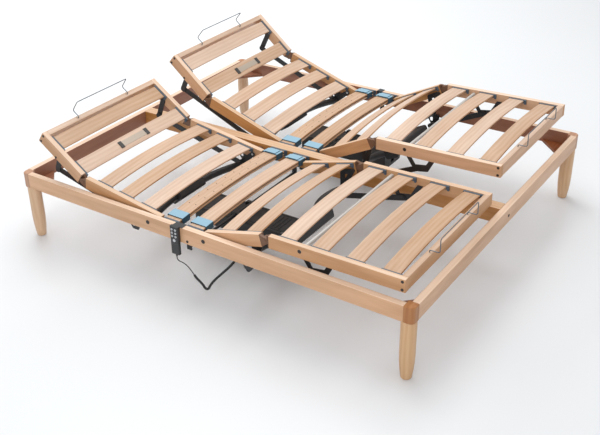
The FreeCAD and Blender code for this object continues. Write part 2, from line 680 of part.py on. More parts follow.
def leg_levers():
    """Lever plates on the inner faces of the leg section's rails, with the support bars' pins."""
    x0, x1 = lane(LEVER_LANE)
    y, z = -LEG_LEVER_PIN[0], LEG_LEVER_PIN[1]
    arm = strap_x((y + 62.0, -14.0), (y + 22.0, z + 8.0), 9.0, x0, x1)
    outline = [(y + 30.0, z - 10.0), (y + 22.0, z + 14.0), (y - 34.0, z + 22.0), (y - 62.0, -10.0),
               (y - 86.0, -10.0), (y - 44.0, z - 6.0), (y, z - 14.0)]
    plate = plate_x(outline, x0, x1).fuse([arm, rod_x(x0, x1, y, z, LEVER_R)])
    plate = plate.fuse(lever_pin(y, z, 0, BAR_LANE + PLATE + 1)).removeSplitter()
    return at_both_sides(plate)


def leg_cross_rod():
    return rod_x(-LOUNGE_HALF - CAP_THICK / 2, LOUNGE_HALF + CAP_THICK / 2, -CROSS_ROD_ALONG, CROSS_ROD_UP, CROSS_ROD_R)


def support_bar():
    """Bar from the fixed link bracket at the origin to the leg lever, laid along -Y."""
    x0, x1 = lane(BAR_LANE)
    bar = strap_x((0, 0), (-LEG_BAR_LENGTH, 0), BAR_HALF_HEIGHT, x0, x1)
    bar = bar.cut(rod_x(x0 - 1, x1 + 1, 0, 0, PIN_R + RUNNING_FIT))
    return at_both_sides(bar.cut(rod_x(x0 - 1, x1 + 1, -LEG_BAR_LENGTH, 0, PIN_R + LEG_PIN_CLEAR)))


def d_bracket(y, face_x, inner):
    """D-shaped strap that hangs under a frame member, on its face towards the lounge."""
    sign = 1 if inner > face_x else -1
    x0, x1 = sorted((face_x, face_x + sign * D_BRACKET_THICK))
    bottom = LEG_HEIGHT - D_BRACKET_DROP
    half = D_BRACKET_WIDTH / 2
    high = LEG_HEIGHT + 14.0
    outline = [(y - half, high), (y + half, high), (y + half, LEG_HEIGHT - 12), (y + half - 16, bottom),
               (y - half + 16, bottom), (y - half, LEG_HEIGHT - 12)]
    strap = plate_x(outline, x0, x1)
    window = plate_x([(y + 4, LEG_HEIGHT - 4), (y + half - 8, LEG_HEIGHT - 4), (y + half - 14, bottom + 12),
                      (y + 4, bottom + 12)], x0 - 1, x1 + 1)
    return strap.cut(window)


def link_brackets(side):
    """The D brackets of one lounge: at the foot they carry the support bars' fixed pins."""
    made = []
    for face_x, rail_face_x in ((RAIL_INNER_X, LOUNGE_X + RAIL_FACE), (BEAM_WIDTH / 2, LOUNGE_X - RAIL_FACE)):
        inner = LOUNGE_X
        for y in (HEAD_STOP_Y, LEG_LINK_Y):
            bracket = d_bracket(y, face_x, inner)
            if y == LEG_LINK_Y:
                step = -1 if rail_face_x > LOUNGE_X else 1
                reach = rail_face_x + step * (BAR_LANE + PLATE + 0.5)
                x0, x1 = sorted((face_x, reach))
                pin = rod_x(x0, x1, LEG_LINK_Y, LEG_LINK_Z, PIN_R)
                boss_end = rail_face_x + step * (BAR_LANE - 0.5)
                b0, b1 = sorted((face_x, boss_end))
                bracket = bracket.fuse([pin, rod_x(b0, b1, LEG_LINK_Y, LEG_LINK_Z, LEVER_R - 3)]).removeSplitter()
            made.append(bracket)
    if side < 0:
        made = [m.mirror(vec(0, 0, 0), vec(1, 0, 0)) for m in made]
    return made


# ------------------------------------------------------------------ fixed section and sliders

FIXED_X = (RAIL_INNER_X + BEAM_WIDTH / 2) / 2
FIXED_HALF = (RAIL_INNER_X - BEAM_WIDTH / 2) / 2 - SLAT_END_GAP


def fixed_slats(side):
    """The two doubled slats of one lounge, and the holders at their ends."""
    slats, holders = [], []
    lower_top = FIXED_END_TOP - SLAT_THICK - LOWER_SLAT_DROP
    for y in FIXED_SLATS:
        upper = slat(FIXED_HALF, FIXED_END_TOP, FIXED_CROWN, SLAT_THICK, y - SLAT_WIDTH / 2)
        lower = slat(FIXED_HALF, lower_top, FIXED_CROWN, LOWER_SLAT_THICK, y - SLAT_WIDTH / 2)
        slats.extend([upper, lower])
        pair = upper.fuse(lower)
        stack = SLAT_THICK + LOWER_SLAT_DROP + LOWER_SLAT_THICK
        face = -FIXED_HALF - SLAT_END_GAP
        holders.extend(at_both_sides(holder(pair, y, FIXED_END_TOP, face, stack, FIXED_BLOCK_DEPTH)))
    for piece in slats + holders:
        piece.translate(vec(side * FIXED_X, 0, 0))
    return slats, holders


def slider_place(inset_side):
    """Offset of a slider from the slat's middle, its height above the end and its slope."""
    offset = inset_side * (FIXED_HALF + SLAT_END_GAP - SLIDER_INSET)
    goal = offset - inset_side * SLIDER_TRAVEL
    def rise(x):
        return FIXED_CROWN * (1 - (x / FIXED_HALF) ** 2)
    slope = math.degrees(math.atan2(rise(goal) - rise(offset), goal - offset))
    return offset, rise(offset), slope


def slider(side, inset_side, y):
    """Rectangular sleeve round both slats, with a lip along its lower edges."""
    offset, rise, slope = slider_place(inset_side)
    stack = SLAT_THICK + LOWER_SLAT_DROP + LOWER_SLAT_THICK
    hole_y, hole_z = SLAT_WIDTH / 2 + SLIDER_CLEAR, stack / 2 + SLIDER_CLEAR
    out_y, out_z = hole_y + SLIDER_WALL, hole_z + SLIDER_WALL
    half = SLIDER_LENGTH / 2
    sleeve = soft_bar(-half, half, -out_y, out_y, -out_z, out_z, 2.0, vec(1, 0, 0))
    sleeve = sleeve.cut(box(-half - 1, half + 1, -hole_y, hole_y, -hole_z, hole_z))
    grip = box(-half, half, -out_y + 12, out_y - 12, -out_z - SLIDER_SKIRT, -out_z + 0.5)
    sleeve = sleeve.fuse(grip).removeSplitter()
    sleeve.rotate(vec(0, 0, 0), vec(0, 1, 0), -slope)
    sleeve.translate(vec(side * FIXED_X + offset, y, FIXED_END_TOP - stack / 2 + rise))
    return [sleeve]


# ------------------------------------------------------------------ bolts, bushes and caps of the frame

def pivot_bolts():
    """Bolts of the back and thigh pivots, and the studs of the legs."""
    lounge_face = LOUNGE_X + RAIL_FACE
    bolts = []
    for y in (BACK_PIVOT_Y, THIGH_PIVOT_Y):
        reach = CRANK_LANE + PLATE + 1 if y == BACK_PIVOT_Y else 0
        outer = rod_x(-HALF_W, -(lounge_face - reach), y, PIVOT_Z, BOLT_R)
        bolts.extend(at_both_sides(outer))
        inner = LOUNGE_X - RAIL_FACE + reach
        bolts.append(rod_x(-inner, inner, y, PIVOT_Z, BOLT_R))
    return bolts + corners(leg_stud())


def frame_fittings():
    """Spacer bushes at the pivots and the caps on the frame's outer faces."""
    made = []
    for y in (BACK_PIVOT_Y, THIGH_PIVOT_Y):
        outer = rod_x(-RAIL_INNER_X, -LOUNGE_OUTER_X - BUSH_PLAY, y, PIVOT_Z, BUSH_R)
        inner = rod_x(-LOUNGE_INNER_X + BUSH_PLAY, -BEAM_WIDTH / 2, y, PIVOT_Z, BUSH_R)
        cap = rod_x(-HALF_W - CAP_THICK, -HALF_W, y, PIVOT_Z, CAP_R)
        bore = rod_x(-HALF_W, 0, y, PIVOT_Z, BOLT_R)
        for piece in (outer.cut(bore), inner.cut(bore), cap):
            made.extend(at_both_sides(piece))
    small = rod_x(-HALF_W - CAP_THICK, -HALF_W, (BACK_PIVOT_Y + THIGH_PIVOT_Y) / 2 - 60, LEG_HEIGHT + 13.5, SMALL_CAP_R)
    made.extend(at_both_sides(small))
    end_cap = rod_y(0, -HALF_L - CAP_THICK, -HALF_L, LEG_HEIGHT + RAIL_HEIGHT / 2, SMALL_CAP_R + 1)
    return made + [end_cap, end_cap.mirror(vec(0, 0, 0), vec(0, 1, 0))]


# ------------------------------------------------------------------ drives

def drive_shells(side):
    """Lower shell with the lead inlets, and the cover on it."""
    x0, x1 = side * LOUNGE_X - DRIVE_WIDTH / 2, side * LOUNGE_X + DRIVE_WIDTH / 2
    whole = box(x0, x1, DRIVE_FOOT_Y, DRIVE_HEAD_Y, DRIVE_BOTTOM_Z, DRIVE_TOP_Z)
    whole = rounded(whole, DRIVE_EDGE, vec(0, 1, 0))
    wall = DRIVE_WALL
    hollow = box(x0 + wall, x1 - wall, DRIVE_FOOT_Y + wall, DRIVE_HEAD_Y - wall,
                 DRIVE_BOTTOM_Z + wall, DRIVE_TOP_Z - wall)
    shell = whole.cut(hollow)
    below = box(x0 - 1, x1 + 1, DRIVE_FOOT_Y - 1, DRIVE_HEAD_Y + 1, DRIVE_BOTTOM_Z - 1, DRIVE_SPLIT_Z)
    lower, cover = shell.common(below), shell.cut(below)
    socket = box(side * LOUNGE_X - 14, side * LOUNGE_X + 14, DRIVE_FOOT_Y - 1, DRIVE_FOOT_Y + 14,
                 GLAND_Z - 9, GLAND_Z + 9)
    inlet = box(side * LOUNGE_X - 17, side * LOUNGE_X + 17, DRIVE_FOOT_Y, DRIVE_FOOT_Y + 17, GLAND_Z - 12, GLAND_Z + 12)
    lower = lower.fuse(inlet).cut(socket).removeSplitter()
    return lower, cover


def drive_gland(side):
    """Round lead entry on the drive's outer side."""
    face = side * (LOUNGE_X + DRIVE_WIDTH / 2)
    x0, x1 = sorted((face, face + side * GLAND_LENGTH))
    return rod_x(x0, x1, GLAND_Y, GLAND_Z, GLAND_R)


def drive_carriers(side):
    """Cross rod from side rail to beam, and the two clamps that hang the drive from it."""
    z = DRIVE_TOP_Z + DRIVE_ROD_R + 4.0
    x0, x1 = sorted((side * RAIL_INNER_X, side * BEAM_WIDTH / 2))
    rod = rod_x(x0, x1, DRIVE_ROD_Y, z, DRIVE_ROD_R)
    hangers = []
    for x in (x0, x1 - 6.0):
        strap = box(x, x + 6.0, DRIVE_ROD_Y - 11, DRIVE_ROD_Y + 11, z - 11, LEG_HEIGHT + 22)
        hangers.append(strap.cut(rod_x(x - 1, x + 7, DRIVE_ROD_Y, z, DRIVE_ROD_R)))
    for sign in (-1, 1):
        x = side * LOUNGE_X + sign * CLAMP_SPREAD
        clamp = box(x - CLAMP_WIDTH / 2, x + CLAMP_WIDTH / 2, DRIVE_ROD_Y - 22, DRIVE_ROD_Y + 22,
                    DRIVE_TOP_Z, z + DRIVE_ROD_R + 3)
        clamp = rounded(clamp, 5.0, vec(1, 0, 0))
        hangers.append(clamp.cut(rod_x(x - CLAMP_WIDTH, x + CLAMP_WIDTH, DRIVE_ROD_Y, z, DRIVE_ROD_R)))
    return [rod] + hangers


# ------------------------------------------------------------------ handset

def button_places():
    places = []
    for z in BUTTON_ROWS:
        for y in (HANDSET_Y + BUTTON_COLUMN, HANDSET_Y - BUTTON_COLUMN):
            places.append((y, z, BUTTON_R))
    places.append((HANDSET_Y, ROUND_BUTTON_Z, ROUND_BUTTON_R))
    return places


def handset_case():
    half = HANDSET_WIDTH / 2
    case = box(HANDSET_FRONT_X, HANDSET_BACK_X, HANDSET_Y - half, HANDSET_Y + half, HANDSET_BOTTOM_Z, HANDSET_TOP_Z)
    case = rounded(case, HANDSET_EDGE, vec(0, 0, 1))
    for y, z, radius in button_places():
        pocket = rod_x(HANDSET_FRONT_X - 1, HANDSET_FRONT_X + BUTTON_DEPTH, y, z, radius + BUTTON_CLEAR)
        case = case.cut(pocket)
    middle = (HANDSET_FRONT_X + HANDSET_BACK_X) / 2
    relief = rod_z(middle, HANDSET_Y, HANDSET_BOTTOM_Z - STRAIN_LENGTH, HANDSET_BOTTOM_Z, STRAIN_R)
    return [case, relief]


def handset_button(place):
    y, z, radius = place
    return [rod_x(HANDSET_FRONT_X - BUTTON_PROUD, HANDSET_FRONT_X - BUTTON_PROUD + BUTTON_LENGTH, y, z, radius)]


def hook(drop, plate_start, plate_end):
    """Bent plate over the left side rail, down its outer face and down inside."""
    y0, y1 = HOOK_Y - HOOK_WIDTH / 2, HOOK_Y + HOOK_WIDTH / 2
    t = HOOK_THICK
    outer = box(-HALF_W - t, -HALF_W, plate_start, plate_end, RAIL_TOP - drop, RAIL_TOP + t)
    top = box(-HALF_W, -RAIL_INNER_X, y0, plate_end, RAIL_TOP, RAIL_TOP + t)
    lip = box(-RAIL_INNER_X, -RAIL_INNER_X + t, y0, y1, RAIL_TOP - HOOK_LIP, RAIL_TOP + t)
    return outer.fuse([top, lip]).removeSplitter()


def lead(route, radius, name):
    points = [vec(*p) for p in route]
    radii = loose_radii(points)
    wire = route_wire(points, radii)
    tube = tube_along(wire, radius)
    print(name, "length %.1f" % wire.Length, "radii", [round(r, 1) for r in radii],
          "volume ratio %.4f" % (tube.Volume / (math.pi * radius ** 2 * wire.Length)))
    return [tube]


# ------------------------------------------------------------------ one lounge

def lounge(name, side, pose):
    x = side * LOUNGE_X
    back, head, thigh = pose["back"], pose["head"], pose["thigh"]
    leg_angle = thigh * (1 + LEG_FOLLOW)
    def swing(shapes, angle, y, z):
        return turned(shapes, angle, x, y, z)
    def point(y, z, along, up, angle):
        a = math.radians(angle)
        return y + along * math.cos(a) - up * math.sin(a), z + along * math.sin(a) + up * math.cos(a)
    head_y, head_z = point(BACK_PIVOT_Y, PIVOT_Z, BACK_LENGTH, 0, back)
    foot_y, foot_z = point(THIGH_PIVOT_Y, PIVOT_Z, -THIGH_LENGTH, 0, -thigh)
    frame, fittings = back_section()
    write(name + "_back_frame", swing(frame, back, BACK_PIVOT_Y, PIVOT_Z))
    write(name + "_back_fittings", swing(fittings, back, BACK_PIVOT_Y, PIVOT_Z))
    frame, fittings = head_section()
    write(name + "_head_frame", swing(frame, back + head, head_y, head_z))
    write(name + "_head_fittings", swing(fittings, back + head, head_y, head_z))
    hardware = head_levers() + [retainer(HEAD_LENGTH, 1)]
    write(name + "_head_hardware", swing(hardware, back + head, head_y, head_z))
    frame, fittings = thigh_section()
    write(name + "_thigh_frame", swing(frame, -thigh, THIGH_PIVOT_Y, PIVOT_Z))
    write(name + "_thigh_fittings", swing(fittings, -thigh, THIGH_PIVOT_Y, PIVOT_Z))
    write(name + "_leg_lift_bow", swing(leg_lift_bow(), -thigh, THIGH_PIVOT_Y, PIVOT_Z))
    frame, fittings = foot_section()
    write(name + "_leg_frame", swing(frame, -leg_angle, foot_y, foot_z))
    write(name + "_leg_fittings", swing(fittings, -leg_angle, foot_y, foot_z))
    hardware = leg_levers() + [leg_cross_rod(), retainer(FOOT_LENGTH, -1)]
    write(name + "_leg_hardware", swing(hardware, -leg_angle, foot_y, foot_z))
    crank = crank_angle(head)
    write(name + "_back_lift_bow", swing(back_lift_bow(), back + crank, BACK_PIVOT_Y, PIVOT_Z))
    pin_y, pin_z = point(head_y, head_z, HEAD_LEVER_PIN[0], HEAD_LEVER_PIN[1], back + head)
    low_y, low_z = point(BACK_PIVOT_Y, PIVOT_Z, CRANK_R, 0, back + crank)
    slope = math.degrees(math.atan2(pin_z - low_z, pin_y - low_y))
    write(name + "_head_tilt_bars", swing(tilt_bar(), slope, pin_y, pin_z))
    pin_y, pin_z = point(foot_y, foot_z, -LEG_LEVER_PIN[0], LEG_LEVER_PIN[1], -leg_angle)
    slope = math.degrees(math.atan2(LEG_LINK_Z - pin_z, LEG_LINK_Y - pin_y))
    write(name + "_leg_support_bars", swing(support_bar(), slope, LEG_LINK_Y, LEG_LINK_Z))
    for row, y in zip(("head", "foot"), FIXED_SLATS):
        for place, inset_side in (("outer", side), ("inner", -side)):
            write(name + "_" + row + "_slider_" + place, slider(side, inset_side, y))


def main():
    os.makedirs("parts", exist_ok=True)
    write("side_rails", side_rails())
    write("end_rails", end_rails())
    write("centre_beam", centre_beam())
    write("corner_posts", corners(corner_post()))
    write("legs", corners(leg()))
    write("corner_plates", corners(corner_plate()))
    slats, holders, brackets, shells, covers, carriers = [], [], [], [], [], []
    for side in (-1, 1):
        more_slats, more_holders = fixed_slats(side)
        slats.extend(more_slats)
        holders.extend(more_holders)
        brackets.extend(link_brackets(side))
        lower, cover = drive_shells(side)
        shells.extend([lower, drive_gland(side)])
        covers.append(cover)
        carriers.extend(drive_carriers(side))
    write("fixed_slats", slats)
    write("frame_fittings", frame_fittings() + holders)
    write("pivot_bolts", pivot_bolts())
    write("link_brackets", brackets)
    write("drive_housings", shells)
    write("drive_covers", covers)
    write("drive_carriers", carriers)
    write("handset_case", handset_case())
    reach = HANDSET_WIDTH / 2 - HOOK_INSET
    near_hook = hook(HOOK_DROP, HANDSET_Y - reach, HANDSET_Y + reach)
    reach = HOOK_WIDTH / 2
    far_hook = hook(FAR_HOOK_DROP, HOOK_Y - reach, HOOK_Y + reach).mirror(vec(0, 0, 0), vec(1, 0, 0))
    write("handset_hooks", [near_hook, far_hook])
    write("handset_cord", lead(CORD_ROUTE, CORD_R, "handset cord"))
    write("cord_sleeve", lead(SLEEVE_ROUTE, SLEEVE_R, "cord sleeve"))
    for number, place in enumerate(button_places(), 1):
        write("handset_button_%d" % number, handset_button(place))
    lounge("left", -1, LEFT_POSE)
    lounge("right", 1, RIGHT_POSE)


main()
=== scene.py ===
import math

import bmesh
import bpy
import numpy as np
from bpy.props import FloatProperty, FloatVectorProperty, IntProperty, PointerProperty
from mathutils import Matrix, Vector


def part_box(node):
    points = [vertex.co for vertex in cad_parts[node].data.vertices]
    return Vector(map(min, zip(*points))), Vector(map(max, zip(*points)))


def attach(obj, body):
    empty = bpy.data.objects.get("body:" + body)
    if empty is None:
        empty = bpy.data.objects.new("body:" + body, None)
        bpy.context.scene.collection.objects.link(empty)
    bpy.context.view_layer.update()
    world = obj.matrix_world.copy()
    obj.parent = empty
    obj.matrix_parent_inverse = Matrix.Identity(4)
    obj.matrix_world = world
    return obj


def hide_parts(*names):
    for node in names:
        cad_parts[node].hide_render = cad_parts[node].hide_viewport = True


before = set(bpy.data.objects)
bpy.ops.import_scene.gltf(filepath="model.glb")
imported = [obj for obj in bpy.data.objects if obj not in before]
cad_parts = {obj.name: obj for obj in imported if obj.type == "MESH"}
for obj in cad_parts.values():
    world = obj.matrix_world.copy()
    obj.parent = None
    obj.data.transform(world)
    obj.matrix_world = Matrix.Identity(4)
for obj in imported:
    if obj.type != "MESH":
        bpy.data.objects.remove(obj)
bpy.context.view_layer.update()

bl_info = {
    "name": "Adjustable bed base",
    "version": (1, 0, 0),
    "blender": (4, 5, 0),
    "location": "View3D > Sidebar > Bed base",
    "description": "Dresses a double adjustable slatted bed base: beech, steel linkage, drives and handset",
    "category": "Object",
}

SIDES = ("left", "right")
SECTIONS = ("back", "head", "thigh", "leg")
# how far each section stands from flat, degrees about +X
SECTION_ANGLES = {
    "left": {"back": 8.8, "head": 35.2, "thigh": -15.2, "leg": -0.836},
    "right": {"back": 18.6, "head": 40.0, "thigh": -26.9, "leg": -1.48},
}
# the lounges' middle, the inner face of their rails and the fixed slats, metres
LOUNGE_X = 0.418
LOUNGE_RAIL_FACE = 0.3355
FIXED_SLAT_X = 0.404875
FIXED_SLAT_HALF = 0.376125
FIXED_SLAT_TOP = 0.316
FIXED_SLAT_CROWN = 0.018
# hinge between back and head section, and the place of the slat nearest to it along the head section
HEAD_HINGES = {"left": (0.60745, 0.35070), "right": (0.59179, 0.41494)}
HEAD_SLAT_ALONG = 0.052
HEAD_SLAT_TOP = 0.027
# the holders' depth and the most that a cap's thickness may be, metres
HOLDER_DEPTH = 0.010
HOLDER_TOLERANCE = 0.0005
CAP_THICK = 0.0025
# the routes of the handset's cord and of the sleeve that it enters, metres
CORD_ROUTE = [
    (-0.8195, 0.077, 0.192), (-0.820, 0.078, 0.176), (-0.821, 0.066, 0.1685), (-0.822, 0.048, 0.169),
    (-0.8225, 0.029, 0.164), (-0.823, 0.012, 0.153), (-0.8225, 0.001, 0.140), (-0.822, -0.008, 0.129),
]
SLEEVE_ROUTE = [
    (-0.822, -0.008, 0.129), (-0.8215, -0.017, 0.118), (-0.821, -0.034, 0.107), (-0.821, -0.0485, 0.0965),
    (-0.8205, -0.0585, 0.082), (-0.8165, -0.071, 0.0815), (-0.813, -0.079, 0.1025), (-0.804, -0.099, 0.132),
    (-0.791, -0.130, 0.167), (-0.774, -0.152, 0.193), (-0.748, -0.158, 0.208), (-0.715, -0.145, 0.207),
    (-0.680, -0.120, 0.194), (-0.644, -0.096, 0.178), (-0.602, -0.083, 0.167), (-0.553, -0.080, 0.162),
    (-0.503, -0.080, 0.162),
]


# ------------------------------------------------------------------ settings

def colour_setting(name, description, default):
    return FloatVectorProperty(name=name, description=description, subtype="COLOR", size=3,
                               min=0.0, max=1.0, default=default)


class BedWoodSettings(bpy.types.PropertyGroup):
    """Colours and grain of the beech; faces that look up get lit colours and upright faces darker shaded
    colours, as painted light.
    """
    # painted light: the face colours are the lit beech of faces that look up, the side colours the painted
    # shade of upright faces
    lit_face_light: colour_setting("Lit face light", "Light wood of faces that look up", (0.80, 0.60, 0.45))
    lit_face_dark: colour_setting("Lit face dark", "Darker streaks of faces that look up", (0.69, 0.47, 0.32))
    shaded_side_light: colour_setting("Shaded side light", "Light wood of upright faces", (0.68, 0.40, 0.225))
    shaded_side_dark: colour_setting("Shaded side dark", "Darker streaks of upright faces", (0.52, 0.28, 0.140))
    # a much darker brown for the inner faces of the outer frame and for the corner plates
    deep_brown_light: colour_setting("Deep brown light", "Inner faces of the outer frame", (0.36, 0.155, 0.086))
    deep_brown_dark: colour_setting("Deep brown dark", "Darker streaks of the inner faces", (0.25, 0.096, 0.052))
    post_light: colour_setting("Post light", "Corner posts", (0.54, 0.30, 0.175))
    post_dark: colour_setting("Post dark", "Darker streaks of the corner posts", (0.42, 0.205, 0.115))
    # painted light: the slats' upper faces take these lit colours, their sides the shaded side colours
    lit_slat_light: colour_setting("Lit slat light", "Light wood of the slats' upper faces", (0.65, 0.475, 0.355))
    lit_slat_dark: colour_setting("Lit slat dark", "Darker streaks of the slats' upper faces", (0.54, 0.355, 0.24))
    leg_light: colour_setting("Leg light", "Turned legs", (0.76, 0.53, 0.345))
    leg_dark: colour_setting("Leg dark", "Darker streaks of the legs", (0.62, 0.39, 0.235))
    roughness: FloatProperty(name="Roughness", description="Gloss of the lacquer", default=0.42,
                             min=0.0, max=1.0, subtype="FACTOR")


class BedMouldingSettings(bpy.types.PropertyGroup):
    """Colours of the moulded pieces."""
    holder: colour_setting("Slat holders", "Rubbery slat holders", (0.070, 0.098, 0.130))
    hinge: colour_setting("Hinge fittings", "Brown hinge fittings", (0.165, 0.080, 0.042))
    cap: colour_setting("Caps", "Screw and pivot caps", (0.022, 0.014, 0.011))
    # painted light: a lit blue for the sliders' top face and a shaded dark blue for their sides, copies of
    # one blue plastic
    lit_slider_top: colour_setting("Lit slider top", "Upper face of the firmness sliders", (0.26, 0.44, 0.56))
    shaded_slider_side: colour_setting("Shaded slider side", "Sides of the firmness sliders", (0.030, 0.085, 0.125))
    drive: colour_setting("Drive", "Drive shells", (0.016, 0.017, 0.019))
    handset: colour_setting("Handset", "Handset case", (0.020, 0.021, 0.024))
    button: colour_setting("Buttons", "Handset buttons", (0.56, 0.58, 0.60))
    cord: colour_setting("Cord", "Cord and sleeve", (0.012, 0.012, 0.014))


class BedSteelSettings(bpy.types.PropertyGroup):
    """Colours of the steel pieces."""
    linkage: colour_setting("Linkage", "Black coat of the levers, bars and bows", (0.014, 0.015, 0.018))
    bright: colour_setting("Bright", "Pivot bolts", (0.62, 0.63, 0.64))
    hook: colour_setting("Hook", "Coat of the handset hooks", (0.020, 0.022, 0.026))
    wire: colour_setting("Retainers", "Wire of the mattress retainers", (0.17, 0.19, 0.215))
    rod: colour_setting("Rods", "Zinc coat of the cross rods", (0.60, 0.58, 0.55))


class BedCordSettings(bpy.types.PropertyGroup):
    """Sizes of the handset's cord."""
    cord_diameter: FloatProperty(name="Cord", description="Cord diameter", default=0.004, unit="LENGTH")
    sleeve_diameter: FloatProperty(name="Sleeve", description="Sleeve diameter", default=0.010, unit="LENGTH")
    relief_ribs: IntProperty(name="Relief ribs", description="Ribs on the strain relief", default=5, min=2)


class BedStageSettings(bpy.types.PropertyGroup):
    """Floor, lamps and camera."""
    floor: colour_setting("Floor", "Pale floor", (0.80, 0.82, 0.84))
    world: FloatProperty(name="Room light", description="Strength of the even light", default=0.60)
    key: FloatProperty(name="Key lamp", description="Power of the large soft lamp", default=115.0,
                       unit="POWER")
    fill: FloatProperty(name="Fill lamp", description="Power of the lamp on the near side", default=42.0,
                        unit="POWER")
    back: FloatProperty(name="Far lamp", description="Power of the wide lamp over the floor behind",
                        default=420.0, unit="POWER")
    lens: FloatProperty(name="Lens", description="Focal length of the camera in millimetres", default=56.68)


SETTINGS = {
    "bed_wood": BedWoodSettings,
    "bed_moulding": BedMouldingSettings,
    "bed_steel": BedSteelSettings,
    "bed_cord": BedCordSettings,
    "bed_stage": BedStageSettings,
}


# ------------------------------------------------------------------ shader helpers

def add_node(tree, kind, **settings):
    made = tree.nodes.new(kind)
    for key, value in settings.items():
        setattr(made, key, value)
    return made


def math_node(tree, operation, first, second=None, clamp=False):
    """A Math node; each input is a socket or a number."""
    made = add_node(tree, "ShaderNodeMath", operation=operation, use_clamp=clamp)
    for slot, value in enumerate((first, second)):
        if value is None:
            continue
        if isinstance(value, (int, float)):
            made.inputs[slot].default_value = value
        else:
            tree.links.new(value, made.inputs[slot])
    return made.outputs[0]


def mix_colours(tree, factor, first, second):
    made = add_node(tree, "ShaderNodeMix", data_type="RGBA")
    for slot, value in (("Factor_Float", factor), ("A_Color", first), ("B_Color", second)):
        socket = [s for s in made.inputs if s.identifier == slot][0]
        if isinstance(value, (int, float, tuple)):
            socket.default_value = value
        else:
            tree.links.new(value, socket)
    return [s for s in made.outputs if s.identifier == "Result_Color"][0]


def scaled(tree, vector, scale):
    made = add_node(tree, "ShaderNodeVectorMath", operation="MULTIPLY")
    tree.links.new(vector, made.inputs[0])
    made.inputs[1].default_value = scale
    return made.outputs[0]


def noise(tree, vector, scale, detail=3.0, rough=0.55, distortion=0.0):
    made = add_node(tree, "ShaderNodeTexNoise")
    made.inputs["Scale"].default_value = scale
    made.inputs["Detail"].default_value = detail
    made.inputs["Roughness"].default_value = rough
    made.inputs["Distortion"].default_value = distortion
    tree.links.new(vector, made.inputs["Vector"])
    return made.outputs["Fac"]


def remap(tree, value, low, high, out_low=0.0, out_high=1.0):
    made = add_node(tree, "ShaderNodeMapRange")
    for slot, number in zip(range(1, 5), (low, high, out_low, out_high)):
        made.inputs[slot].default_value = number
    tree.links.new(value, made.inputs[0])
    return made.outputs[0]


def new_group(name, inputs, outputs):
    """A shader node group with named sockets; returns it with its input and output nodes."""
    group = bpy.data.node_groups.new(name, "ShaderNodeTree")
    for label, kind, default in inputs:
        socket = group.interface.new_socket(label, in_out="INPUT", socket_type=kind)
        if default is not None:
            socket.default_value = default
    for label, kind in outputs:
        group.interface.new_socket(label, in_out="OUTPUT", socket_type=kind)
    return group, group.nodes.new("NodeGroupInput"), group.nodes.new("NodeGroupOutput")


def rgba(colour):
    return tuple(colour) + (1.0,)


